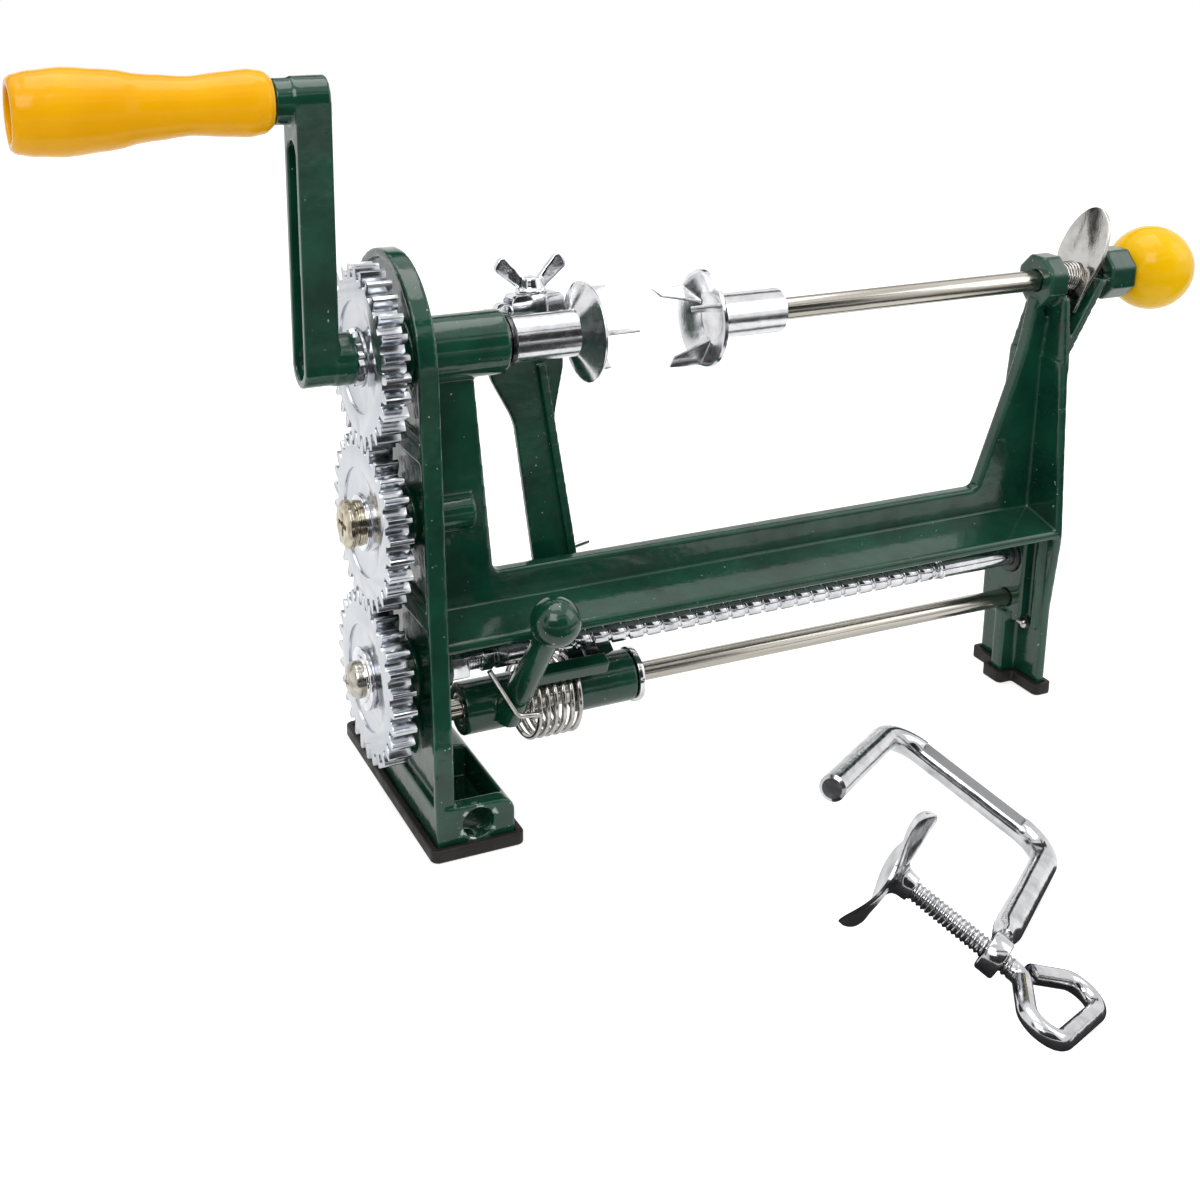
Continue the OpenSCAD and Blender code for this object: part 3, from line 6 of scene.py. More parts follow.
import bmesh
import bpy
from bpy.props import FloatProperty, FloatVectorProperty, IntProperty, PointerProperty
from mathutils import Euler, Matrix, Vector
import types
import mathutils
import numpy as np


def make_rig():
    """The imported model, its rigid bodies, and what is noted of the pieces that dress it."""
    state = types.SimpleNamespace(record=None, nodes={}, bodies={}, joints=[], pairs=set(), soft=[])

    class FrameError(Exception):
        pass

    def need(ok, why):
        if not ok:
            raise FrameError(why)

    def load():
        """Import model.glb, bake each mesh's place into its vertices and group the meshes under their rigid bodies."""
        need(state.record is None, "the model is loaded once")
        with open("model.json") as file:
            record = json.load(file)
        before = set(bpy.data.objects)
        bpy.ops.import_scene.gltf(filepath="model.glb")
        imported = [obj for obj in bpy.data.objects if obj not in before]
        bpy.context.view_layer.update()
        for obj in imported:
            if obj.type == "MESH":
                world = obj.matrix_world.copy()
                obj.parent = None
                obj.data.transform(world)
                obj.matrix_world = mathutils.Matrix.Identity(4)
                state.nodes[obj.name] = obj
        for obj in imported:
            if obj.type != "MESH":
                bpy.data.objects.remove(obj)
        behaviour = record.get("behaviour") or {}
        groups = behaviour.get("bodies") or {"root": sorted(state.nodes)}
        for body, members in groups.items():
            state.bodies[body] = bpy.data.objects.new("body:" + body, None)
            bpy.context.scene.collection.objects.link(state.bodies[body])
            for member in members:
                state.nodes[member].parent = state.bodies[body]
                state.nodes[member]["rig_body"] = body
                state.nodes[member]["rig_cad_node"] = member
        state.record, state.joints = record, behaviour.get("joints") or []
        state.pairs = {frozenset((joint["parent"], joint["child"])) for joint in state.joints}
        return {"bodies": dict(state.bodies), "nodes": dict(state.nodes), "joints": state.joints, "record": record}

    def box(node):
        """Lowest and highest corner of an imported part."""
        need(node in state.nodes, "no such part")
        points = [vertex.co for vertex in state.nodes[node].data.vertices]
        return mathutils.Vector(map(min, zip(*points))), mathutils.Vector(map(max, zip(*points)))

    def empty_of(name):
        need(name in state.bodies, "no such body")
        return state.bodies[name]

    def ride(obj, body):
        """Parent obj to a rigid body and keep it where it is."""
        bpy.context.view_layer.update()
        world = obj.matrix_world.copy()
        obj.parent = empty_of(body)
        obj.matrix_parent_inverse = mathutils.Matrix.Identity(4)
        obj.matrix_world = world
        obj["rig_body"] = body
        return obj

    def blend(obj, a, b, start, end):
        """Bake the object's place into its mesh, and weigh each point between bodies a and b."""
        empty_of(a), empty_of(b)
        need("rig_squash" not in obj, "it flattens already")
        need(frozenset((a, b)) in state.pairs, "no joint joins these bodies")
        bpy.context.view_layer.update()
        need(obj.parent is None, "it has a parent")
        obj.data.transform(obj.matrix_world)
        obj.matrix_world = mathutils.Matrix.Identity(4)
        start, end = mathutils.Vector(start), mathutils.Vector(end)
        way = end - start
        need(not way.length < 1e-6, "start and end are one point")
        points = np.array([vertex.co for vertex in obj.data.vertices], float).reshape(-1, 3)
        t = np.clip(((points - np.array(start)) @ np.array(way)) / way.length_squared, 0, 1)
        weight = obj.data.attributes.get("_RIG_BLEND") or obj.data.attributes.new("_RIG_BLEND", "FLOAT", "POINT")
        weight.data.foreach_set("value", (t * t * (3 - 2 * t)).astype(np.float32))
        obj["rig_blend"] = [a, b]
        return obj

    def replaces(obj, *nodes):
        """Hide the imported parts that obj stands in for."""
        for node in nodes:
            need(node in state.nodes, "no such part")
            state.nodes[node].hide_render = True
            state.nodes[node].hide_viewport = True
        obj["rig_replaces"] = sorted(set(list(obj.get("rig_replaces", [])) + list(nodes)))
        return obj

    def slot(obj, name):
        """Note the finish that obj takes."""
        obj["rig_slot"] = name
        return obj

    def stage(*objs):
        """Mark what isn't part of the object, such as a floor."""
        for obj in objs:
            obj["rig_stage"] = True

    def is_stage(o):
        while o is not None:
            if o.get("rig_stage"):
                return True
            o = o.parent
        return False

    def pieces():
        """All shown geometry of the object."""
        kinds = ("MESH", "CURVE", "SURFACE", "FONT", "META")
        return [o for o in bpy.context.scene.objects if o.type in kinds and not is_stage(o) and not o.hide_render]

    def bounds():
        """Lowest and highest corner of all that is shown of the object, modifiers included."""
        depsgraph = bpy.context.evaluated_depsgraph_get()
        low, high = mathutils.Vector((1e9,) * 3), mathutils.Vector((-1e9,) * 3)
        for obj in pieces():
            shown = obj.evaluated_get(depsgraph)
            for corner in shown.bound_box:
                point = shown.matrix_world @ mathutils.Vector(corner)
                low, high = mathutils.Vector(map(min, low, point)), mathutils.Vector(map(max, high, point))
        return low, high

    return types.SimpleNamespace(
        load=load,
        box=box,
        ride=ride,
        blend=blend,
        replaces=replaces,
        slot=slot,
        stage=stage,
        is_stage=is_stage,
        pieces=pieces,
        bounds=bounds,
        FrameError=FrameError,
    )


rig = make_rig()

bl_info = {
    "name": "Fruit Peeler Finish",
    "version": (1, 0, 0),
    "blender": (4, 5, 0),
    "location": "View3D > Sidebar > Fruit Peeler",
    "description": "Builds the finished surfaces of a hand cranked fruit peeler over its exact parts",
    "category": "Object",
}

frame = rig.load()
EXACT_BOX = [list(corner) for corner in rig.bounds()]
BODY_OF = {node: body for body, nodes in frame["record"]["behaviour"]["bodies"].items()
           for node in nodes}
SLOT_OF = {part["node"]: part["material_slot"] for part in frame["record"]["subparts"]}
MM = 0.001
TURN = 2 * math.pi


def middle(node):
    """Middle of an exact part's box."""
    low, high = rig.box(node)
    return (low + high) / 2


# ---- Sizes and colours

def length(name, description, default):
    return FloatProperty(name=name, description=description, default=default * MM,
                         unit="LENGTH", min=0.0, precision=5)


def colour(name, description, default):
    return FloatVectorProperty(name=name, description=description, default=default, size=4,
                               subtype="COLOR", min=0.0, max=1.0)


def whole(name, description, default, least, most):
    return IntProperty(name=name, description=description, default=default, min=least, max=most)


def number(name, description, default, **options):
    return FloatProperty(name=name, description=description, default=default, **options)


class PeelerFinishes(bpy.types.PropertyGroup):
    """Colours of the finishes"""
    enamel: colour("Enamel", "Green of the castings", (0.0062, 0.060, 0.034, 1))
    enamel_deep: colour("Deep enamel", "Green where the enamel lies thick", (0.0030, 0.032, 0.019, 1))
    # Paler green for the castings' edges: partly thin enamel, partly a painted highlight where rounded edges catch the
    # light
    enamel_thin_and_sheen: colour("Thin enamel and edge sheen", "Green along the castings' edges", (0.030, 0.150, 0.100, 1))
    fleck: colour("Fleck", "Pale flecks in the enamel", (0.34, 0.42, 0.37, 1))
    rubber: colour("Rubber", "Colour of the feet", (0.014, 0.011, 0.0105, 1))
    chrome: colour("Chrome", "Chucks, shafts, blade, wing bolt and small nuts", (0.80, 0.80, 0.82, 1))
    nickel: colour("Nickel", "Rods, lock pin and the leadscrew's end screw", (0.60, 0.57, 0.51, 1))
    gear: colour("Gear steel", "Plated gears", (0.60, 0.62, 0.65, 1))
    dark_steel: colour("Dark steel", "Spindle's bush and follower", (0.10, 0.10, 0.105, 1))
    brass: colour("Brass", "Idler's shoulder screw", (0.58, 0.53, 0.41, 1))
    amber: colour("Amber", "Plastic of the grip", (0.93, 0.46, 0.002, 1))
    lemon: colour("Lemon", "Plastic of the ball knob", (0.97, 0.585, 0.002, 1))
    bush: colour("Bush", "Plastic of the leadscrew's rear bush", (0.018, 0.018, 0.019, 1))
    spring: colour("Spring steel", "Both springs and the latch plate", (0.60, 0.585, 0.56, 1))
    zinc: colour("Zinc", "Table clamp", (0.66, 0.66, 0.68, 1))
    floor: colour("Floor", "Floor under the peeler", (0.80, 0.80, 0.80, 1))


class PeelerForms(bpy.types.PropertyGroup):
    """Sizes of the soft forms and edges"""
    casting_grain: length("Casting grain", "Mesh size of the main casting", 0.7)
    casting_rounds: whole("Casting rounds", "How often the main casting's corners are eased", 4, 0, 30)
    small_grain: length("Small casting grain", "Mesh size of the arm, lever and crank", 0.5)
    small_rounds: whole("Small casting rounds", "How often the small castings are eased", 4, 0, 30)
    grip_rounds: whole("Grip rounds", "How often the grip is eased", 4, 0, 30)
    ball_rounds: whole("Ball rounds", "How often the ball knob is eased", 3, 0, 30)
    fine_grain: length("Fine grain", "Mesh size of moulded and bent pieces", 0.42)
    fine_rounds: whole("Fine rounds", "How often fine pieces are eased", 6, 0, 30)
    tooth_edge: length("Tooth edge", "Edge width on gears", 0.22)
    turned_edge: length("Turned edge", "Edge width on turned parts", 0.32)
    sheet_edge: length("Sheet edge", "Edge width on sheet parts", 0.24)
    rubber_edge: length("Rubber edge", "Edge width on the feet", 0.8)


class PeelerThreads(bpy.types.PropertyGroup):
    """Sizes of the screw threads"""
    fine_pitch: length("Fine pitch", "Pitch of the thread beside the leadscrew's nut", 1.0)
    clamp_pitch: length("Clamp pitch", "Pitch of the clamp screw", 1.5)
    clamp_depth: length("Clamp depth", "Depth of the clamp screw's thread", 0.5)
    groove_lead: length("Groove lead", "Lead of the leadscrew's groove", 7.0)
    groove_depth: length("Groove depth", "Depth of the leadscrew's groove", 0.9)
    steps: whole("Steps", "Steps in each turn of a thread", 48, 8, 96)


class PeelerClamp(bpy.types.PropertyGroup):
    """Sizes of the table clamp"""
    bar: length("Bar", "Diameter of the bent bar", 8.5)
    flat_depth: length("Flat depth", "Depth of the flat on the bar's back", 1.5)
    flat_length: length("Flat length", "Length of the flat on the bar's back", 39)
    handle: length("Handle wire", "Diameter of the handle's wire", 5.6)
    screw: length("Screw", "Diameter over the screw's thread", 6)
    pad: length("Pad", "Diameter of the pressure pad", 42)
    pad_wave: length("Pad wave", "Depth of the waves in the pad's rim", 2.2)


class PeelerSprings(bpy.types.PropertyGroup):
    """Sizes of the wound springs"""
    torsion_wire: length("Torsion wire", "Wire of the torsion spring", 1.9)
    torsion_radius: length("Torsion radius", "Radius of the coil's middle line", 13.25)
    torsion_turns: number("Torsion turns", "Turns of the torsion spring", 6.25, min=1)
    latch_wire: length("Latch wire", "Wire of the latch spring", 0.8)
    latch_radius: length("Latch radius", "Radius of the latch coil's middle line", 5.7)
    latch_turns: number("Latch turns", "Turns of the latch spring", 7, min=1)
    steps: whole("Steps", "Steps in each turn of a spring", 40, 8, 96)
    sides: whole("Sides", "Sides of the springs' wire", 14, 6, 32)


class PeelerStage(bpy.types.PropertyGroup):
    """Camera and lamps"""
    camera_place: FloatVectorProperty(name="Camera place", description="Where the camera stands",
                                      default=(-0.16381, -0.48559, 0.31148), subtype="TRANSLATION", unit="LENGTH")
    camera_yaw: number("Camera yaw", "Turn of the camera towards +X", 0.4198, subtype="ANGLE")
    camera_pitch: number("Camera pitch", "Tilt of the camera below level", 0.2745, subtype="ANGLE")
    camera_roll: number("Camera roll", "Roll of the camera", 0.0047, subtype="ANGLE")
    camera_lens: number("Lens", "Focal length in millimetres", 49.69)
    camera_shift: FloatVectorProperty(name="Shift", description="Camera shift across and up", size=2,
                                      default=(0.0442, -0.2111))
    key_power: number("Key lamp", "Power of the lamp at the left", 10.0, unit="POWER")
    fill_power: number("Fill lamp", "Power of the lamp at the right", 4.0, unit="POWER")
    top_power: number("Top lamp", "Power of the lamp above", 10.0, unit="POWER")
    ambient: number("Ambient", "Strength of the light from all round", 0.5, min=0.0)


# ---- Finishes

class Nodes:
    """Links shader nodes in a tree."""

    def __init__(self, tree):
        self.tree = tree

    def new(self, kind):
        return self.tree.nodes.new("ShaderNode" + kind)

    def feed(self, socket, value):
        if isinstance(value, bpy.types.NodeSocket):
            self.tree.links.new(value, socket)
        else:
            socket.default_value = value

    def worked(self, kind, operation, values):
        node = self.new(kind)
        node.operation = operation
        for socket, value in zip(node.inputs, values):
            self.feed(socket, value)
        return node.outputs

    def math(self, operation, *values):
        return self.worked("Math", operation, values)[0]

    def vector(self, operation, *values):
        return self.worked("VectorMath", operation, values)["Value" if operation == "DISTANCE" else "Vector"]


class Finish(Nodes):
    """One procedural material. Its texture space is the part's own, in metres."""

    def __init__(self, name, metallic=0.0, roughness=0.3):
        self.material = bpy.data.materials.new(name)
        self.material.use_nodes = True
        super().__init__(self.material.node_tree)
        self.shader = self.tree.nodes["Principled BSDF"]
        self.place = self.new("TexCoord").outputs["Object"]
        self.set("Metallic", metallic)
        self.set("Roughness", roughness)

    def set(self, socket, value):
        self.feed(self.shader.inputs[socket], value)

    def noise(self, size, detail=3.0, stretch=(1, 1, 1), roughness=0.5):
        """Cloudy values from 0 to 1 whose patches are about size across."""
        node = self.new("TexNoise")
        self.feed(node.inputs["Vector"], self.vector("MULTIPLY", self.place, stretch))
        node.inputs["Scale"].default_value = 1 / size
        node.inputs["Detail"].default_value = detail
        node.inputs["Roughness"].default_value = roughness
        return node.outputs["Fac"]

    def span(self, value, low, high, first=0.0, last=1.0):
        """value from low to high as first to last, held at both ends."""
        node = self.new("MapRange")
        for key, number in (("Value", value), ("From Min", low), ("From Max", high),
                            ("To Min", first), ("To Max", last)):
            self.feed(node.inputs[key], number)
        return node.outputs["Result"]

    def mix(self, share, first, second):
        node = self.new("Mix")
        node.data_type = "RGBA"
        self.feed(node.inputs[0], share)
        self.feed(node.inputs[6], first)
        self.feed(node.inputs[7], second)
        return node.outputs[2]

    def drift(self, size, detail, low, high, first, last):
        """Base colour from first to last in patches about size across."""
        self.set("Base Color", self.mix(self.span(self.noise(size, detail), low, high), first, last))

    def gloss(self, size, detail, least, most, low=0.3, high=0.7):
        """Roughness from least to most in patches about size across."""
        self.set("Roughness", self.span(self.noise(size, detail), low, high, least, most))

    def edges(self, low, high):
        """1 on a mesh's outer edges, 0 on its faces."""
        return self.span(self.new("NewGeometry").outputs["Pointiness"], low, high)

    def relief(self, *layers):
        """Bumps, each given as (height, depth), one on the other."""
        normal = None
        for height, depth in layers:
            node = self.new("Bump")
            node.inputs["Strength"].default_value = 1.0
            node.inputs["Distance"].default_value = depth
            self.feed(node.inputs["Height"], height)
            if normal is not None:
                self.feed(node.inputs["Normal"], normal)
            normal = node.outputs["Normal"]
        self.set("Normal", normal)

    def about(self, centre, axis):
        """Distance from the line through centre along axis, one of 0, 1 and 2."""
        keep = [1.0, 1.0, 1.0]
        keep[axis] = 0.0
        spot = [c * k for c, k in zip(centre, keep)]
        return self.vector("DISTANCE", self.vector("MULTIPLY", self.place, keep), spot)

    def rings(self, centre, axis, pitch):
        """Turning marks about a line."""
        return self.math("SINE", self.math("MULTIPLY", self.about(centre, axis), TURN / pitch))


def dimmed(tint, share):
    return [share * c for c in tint[:3]] + [1]


def green_enamel(name, colours):
    """Thick gloss enamel on a casting: pooled colour, paler at the edges as thin enamel and a painted edge highlight,
    with flecks and a rippled skin.
    """
    made = Finish(name, roughness=0.16)
    tone = made.mix(made.span(made.noise(0.016, 3), 0.35, 0.68), colours.enamel, colours.enamel_deep)
    # Paler green painted on the outer edges: partly thin enamel, partly a painted highlight that stands in for light
    # on rounded edges
    tone = made.mix(made.math("MULTIPLY", made.edges(0.52, 0.60), 0.55), tone, colours.enamel_thin_and_sheen)
    flecks = made.math("MULTIPLY", made.span(made.noise(0.0014, 1), 0.75, 0.78),
                       made.span(made.noise(0.012, 1), 0.48, 0.60))
    worn = made.math("MULTIPLY", made.edges(0.56, 0.64), made.span(made.noise(0.0024, 2), 0.58, 0.66))
    pale = made.math("MAXIMUM", flecks, made.math("MULTIPLY", worn, 0.7))
    # Paint knocked off round the mouth of the clamp's hole
    mouth = frame["record"]["mounts"][1]["pos_m"]
    rim = made.math("ABSOLUTE", made.math("SUBTRACT", made.about(mouth, 1), 0.0062))
    chips = made.math("MULTIPLY", made.span(rim, 0.0013, 0.0006), made.span(made.noise(0.0032, 2), 0.50, 0.56))
    front = made.new("SeparateXYZ")
    made.feed(front.inputs[0], made.place)
    chips = made.math("MULTIPLY", chips, made.span(front.outputs["Y"], -0.0300, -0.0312))
    made.set("Base Color", made.mix(made.math("MAXIMUM", pale, chips), tone, colours.fleck))
    made.set("Metallic", made.math("MULTIPLY", chips, 0.8))
    made.gloss(0.008, 2, 0.10, 0.22)
    made.set("Specular IOR Level", 0.42)
    made.set("Coat Weight", 0.35)
    made.set("Coat Roughness", 0.05)
    made.relief((made.noise(0.011, 2), 0.00035), (made.noise(0.0026, 2), 0.00007))
    return made.material


def black_rubber(name, colours):
    """Moulded rubber with a fine matt skin and a dusty bloom."""
    made = Finish(name, roughness=0.5)
    bloom = made.span(made.noise(0.009, 3), 0.45, 0.75, 0.0, 0.5)
    made.set("Base Color", made.mix(bloom, colours.rubber, (0.032, 0.027, 0.025, 1)))
    made.gloss(0.004, 3, 0.38, 0.60)
    made.set("Specular IOR Level", 0.28)
    made.relief((made.noise(0.0007, 2), 0.00005), (made.noise(0.012, 1), 0.0002))
    return made.material


def nickel_rod(name, colours):
    """Drawn nickel rod with fine streaks along its length."""
    made = Finish(name, 1.0, 0.2)
    streaks = made.noise(0.0016, 3, (0.02, 1, 1))
    made.set("Base Color", made.mix(made.span(streaks, 0.35, 0.7), colours.nickel, (0.40, 0.37, 0.32, 1)))
    made.set("Roughness", made.span(streaks, 0.3, 0.7, 0.13, 0.27))
    made.relief((streaks, 0.00003), (made.noise(0.012, 1), 0.00012))
    return made.material


def clamp_zinc(name, colours):
    """Plated bar, bright on its bends and dull grey where it was pressed flat."""
    made = Finish(name, 1.0, 0.16)
    pressed = made.new("Attribute")
    pressed.attribute_name = "pressed"
    share = pressed.outputs["Fac"]
    bright = made.mix(made.span(made.noise(0.007, 3), 0.4, 0.75), colours.zinc, (0.42, 0.42, 0.44, 1))
    grain = made.noise(0.0008, 3)
    made.set("Base Color", made.mix(share, bright, made.mix(grain, (0.25, 0.25, 0.255, 1), (0.36, 0.36, 0.37, 1))))
    made.set("Roughness", made.math("ADD", made.span(made.noise(0.003, 3), 0.3, 0.7, 0.09, 0.20),
                                    made.math("MULTIPLY", share, 0.34)))
    made.relief((made.noise(0.007, 2), 0.00022), (grain, 0.00001))
    return made.material


def drifting(name, metallic, roughness, drift, gloss, bumps, rings=(), values=()):
    """A finish with drifting tone and cloudy gloss. bumps are (size, detail, depth), and rings
    are (centre, pitch, depth) of the turning marks about a shaft along X."""
    made = Finish(name, metallic, roughness)
    made.drift(*drift)
    made.gloss(*gloss)
    for socket, value in values:
        made.set(socket, value)
    made.relief(*[(made.rings(centre, 0, pitch), depth) for centre, pitch, depth in rings],
                *[(made.noise(size, detail), depth) for size, detail, depth in bumps])
    return made.material


# Exact parts with a finish of their own within their slot
KINDS = {"drive_chuck": "satin_chrome", "tail_chuck": "satin_chrome", "latch_plate": "latch_steel",
         "leadscrew_end_screw": "screw_steel"}
TURNED = ("gear_steel", "brass_screw", "dark_steel")


def finish_of(slot, node=""):
    """The material of a slot, made once. Turned metals have one for each axis."""
    colours = bpy.context.scene.peeler_finishes
    kind = KINDS.get(node, slot)
    name = (f"{slot}_{node}" if kind == slot and slot in TURNED and node else kind) + "_finish"
    ready = bpy.data.materials.get(name)
    if ready:
        return ready
    centre = middle(node) if node else Vector()

    def satin(tint, low, high):
        """Plated zinc with a soft satin skin and small cast pits."""
        return (1, low, (0.005, 3, 0.4, 0.75, tint, dimmed(tint, 0.8)), (0.0022, 3, low, high),
                ((0.007, 1, 0.00008), (0.0008, 3, 0.00003)))

    def turned(tint, dark, roughness):
        """Lathe turned metal, darker where grease keeps to it."""
        return (1, roughness, (0.0028, 3, 0.4, 0.75, tint, dark), (0.002, 2, 0.7 * roughness, 1.35 * roughness),
                ((0.003, 2, 0.00006),), ((centre, 0.0005, 0.000006),))

    def plastic(tint, deep):
        """Glossy moulded plastic with a faint flow ripple."""
        return (0, 0.16, (0.030, 3, 0.35, 0.7, tint, deep), (0.006, 3, 0.10, 0.22),
                ((0.014, 1, 0.00016), (0.0011, 2, 0.000008)), (),
                (("Specular IOR Level", 0.22), ("Subsurface Weight", 0.08), ("Subsurface Scale", 0.002)))

    makers = {"green_enamel": green_enamel, "black_rubber": black_rubber, "nickel_rod": nickel_rod,
              "clamp_zinc": clamp_zinc}
    rows = {
        # Slight waves in chromed steel
        "chrome": (1, 0.08, (0.006, 2, 0.4, 0.75, colours.chrome, (0.55, 0.56, 0.60, 1)),
                   (0.003, 3, 0.07, 0.18, 0.35, 0.75), ((0.006, 2, 0.00012), (0.0007, 2, 0.000012))),
        "satin_chrome": satin(colours.chrome, 0.12, 0.22),
        "latch_steel": satin(colours.spring, 0.10, 0.20),
        # Bright plating with a cloudy sheen
        "gear_steel": (1, 0.22, (0.010, 3, 0.35, 0.75, colours.gear, (0.54, 0.56, 0.60, 1)),
                       (0.0045, 3, 0.15, 0.24), ((0.010, 1, 0.00003),), ((centre, 0.0007, 0.000001),)),
        "screw_steel": turned(colours.nickel, (0.26, 0.24, 0.20, 1), 0.24),
        "brass_screw": turned(colours.brass, (0.24, 0.19, 0.12, 1), 0.2),
        "dark_steel": turned(colours.dark_steel, (0.030, 0.030, 0.032, 1), 0.28),
        "amber_plastic": plastic(colours.amber, (0.84, 0.385, 0.001, 1)),
        "lemon_plastic": plastic(colours.lemon, (0.89, 0.50, 0.001, 1)),
        # Black bearing plastic with fine turning marks
        "black_bush": (0, 0.4, (0.003, 2, 0.4, 0.7, colours.bush, (0.040, 0.040, 0.042, 1)),
                       (0.002, 2, 0.30, 0.50), (), ((centre, 0.0006, 0.000008),)),
        # Drawn wire with small darker patches
        "spring_steel": (1, 0.16, (0.0035, 3, 0.42, 0.72, colours.spring, (0.30, 0.285, 0.26, 1)),
                         (0.0015, 2, 0.10, 0.24), ((0.0012, 2, 0.00002),)),
    }
    if kind in makers:
        return makers[kind](name, colours)
    if kind in rows:
        return drifting(name, *rows[kind])
    raise ValueError(f"no finish is known for the slot {slot}")


# ---- Mesh tools

def mesh_from(bm, name):
    """A clean mesh from an edit mesh, without layers that the import left."""
    bm.verts.index_update()
    mesh = bpy.data.meshes.new(name)
    mesh.from_pydata([v.co[:] for v in bm.verts], [], [[v.index for v in f.verts] for f in bm.faces])
    bm.free()
    return mesh


def exact_copy(node, flat_faces=False):
    """A new object with an exact part's mesh, its split corners joined."""
    bm = bmesh.new()
    bm.from_mesh(frame["nodes"][node].data)
    bmesh.ops.remove_doubles(bm, verts=bm.verts, dist=3e-6)
    if flat_faces:
        bmesh.ops.dissolve_limit(bm, angle_limit=math.radians(0.6), verts=bm.verts, edges=bm.edges)
    return placed(mesh_from(bm, node + "_form"), node + "_form")


def placed(mesh, name):
    obj = bpy.data.objects.new(name, mesh)
    bpy.context.scene.collection.objects.link(obj)
    return obj


def change(obj, kind, **values):
    """Adds a modifier of this kind with these values."""
    step = obj.modifiers.new(kind.lower(), kind)
    for key, value in values.items():
        setattr(step, key, value)


def bake(obj):
    """Applies the modifiers of an object."""
    graph = bpy.context.evaluated_depsgraph_get()
    graph.update()
    mesh = bpy.data.meshes.new_from_object(obj.evaluated_get(graph))
    obj.modifiers.clear()
    old, obj.data = obj.data, mesh
    bpy.data.meshes.remove(old)
    return obj


def seat(obj, body, slot, nodes=(), finish_node="", sharp=38.0):
    """Gives a piece its finish, lets it ride with a body and stand for exact parts."""
    mesh = obj.data
    mesh.materials.clear()
    mesh.materials.append(finish_of(slot, finish_node))
    mesh.shade_smooth()
    if sharp:
        mesh.set_sharp_from_angle(angle=math.radians(sharp))
    if body:
        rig.ride(obj, body)
    if nodes:
        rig.replaces(obj, *nodes)
    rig.slot(obj, slot)
    return obj


def softened(node, grain, rounds):
    """A soft skinned copy of an exact part: an even mesh laid on its surface, with every corner eased."""
    obj, exact = exact_copy(node), exact_copy(node)
    change(obj, "REMESH", mode="VOXEL", voxel_size=grain, adaptivity=0.0)
    change(obj, "SMOOTH", factor=0.5, iterations=3)
    change(obj, "SHRINKWRAP", target=exact, wrap_method="NEAREST_SURFACEPOINT")
    change(obj, "SMOOTH", factor=0.5, iterations=rounds)
    bake(obj)
    bpy.data.objects.remove(exact)
    return obj


def edged(node, width, segments=2, cutters=()):
    """A copy of an exact part with its sharp edges broken, after any cutters are taken out."""
    obj = exact_copy(node, flat_faces=True)
    for cutter in cutters:
        change(obj, "BOOLEAN", operation="DIFFERENCE", solver="EXACT", use_self=True, object=cutter)
    change(obj, "BEVEL", width=width, segments=segments, limit_method="ANGLE", angle_limit=math.radians(30),
           use_clamp_overlap=True, harden_normals=False)
    bake(obj)
    for cutter in cutters:
        bpy.data.objects.remove(cutter)
    return obj


def seat_copy(obj, node, **options):
    """Seats a piece that stands for one exact part, on that part's body and slot."""
    return seat(obj, BODY_OF[node], SLOT_OF[node], (node,), node, **options)


def edge_all(nodes, width, segments=2, sharp=38.0):
    """Puts edged copies in the place of exact parts."""
    for node in nodes:
        seat_copy(edged(node, width, segments), node, sharp=sharp)


def soften_all(nodes, grain, rounds):
    """Puts softened copies in the place of exact parts."""
    for node in nodes:
        seat_copy(softened(node, grain, rounds), node, sharp=0)


def in_mm(profile, start=0.0):
    """A profile of (along, radius) in millimetres, moved along by start, in metres."""
    return [(start + along * MM, radius * MM) for along, radius in profile]


def spot(along, radius, angle):
    """A point along X, at this radius and angle about X."""
    return Vector((along, radius * math.cos(angle), radius * math.sin(angle)))


def lathe(bm, profile, place, sides=96):
    """Turns a profile of (along, radius) about the X axis of place."""
    rings = [[bm.verts.new(place @ spot(along, radius, TURN * i / sides)) for i in range(sides if radius else 1)]
             for along, radius in profile]
    for a, b in zip(rings, rings[1:]):
        for i in range(sides):
            j = i + 1
            corners = [a[i % len(a)], b[i % len(b)], b[j % len(b)], a[j % len(a)]]
            loop = [c for k, c in enumerate(corners) if c is not corners[k - 1]]
            if len(loop) > 2:
                bm.faces.new(loop)


def wound(bm, start, stop, pitch, rows, place, steps):
    """A right-handed thread from start to stop along the X axis of place.
    rows are (share of the pitch, radius); the least radius closes both ends."""
    core = min(radius for share, radius in rows)
    turns = int((stop - start) / pitch) + 3
    columns = []
    for i in range(steps):
        angle = TURN * i / steps
        column = []
        for k in range(turns):
            for share, radius in rows:
                along = start + pitch * (k - 1 + share + i / steps)
                if not start < along < stop:
                    radius, along = core, min(max(along, start), stop)
                column.append(bm.verts.new(place @ spot(along, radius, angle)))
        columns.append(column)
    for i in range(steps):
        near = columns[i]
        far = columns[i + 1] if i + 1 < steps else columns[0][len(rows):]
        for j in range(min(len(near), len(far)) - 1):
            bm.faces.new((near[j], far[j], far[j + 1], near[j + 1]))
    bmesh.ops.remove_doubles(bm, verts=bm.verts, dist=1e-7)
    bmesh.ops.dissolve_degenerate(bm, edges=bm.edges, dist=1e-7)


def band(bm, a, b):
    """Joins two rings of as many points with a band of faces."""
    for k in range(len(a)):
        m = (k + 1) % len(a)
        bm.faces.new((a[k], b[k], b[m], a[m]))


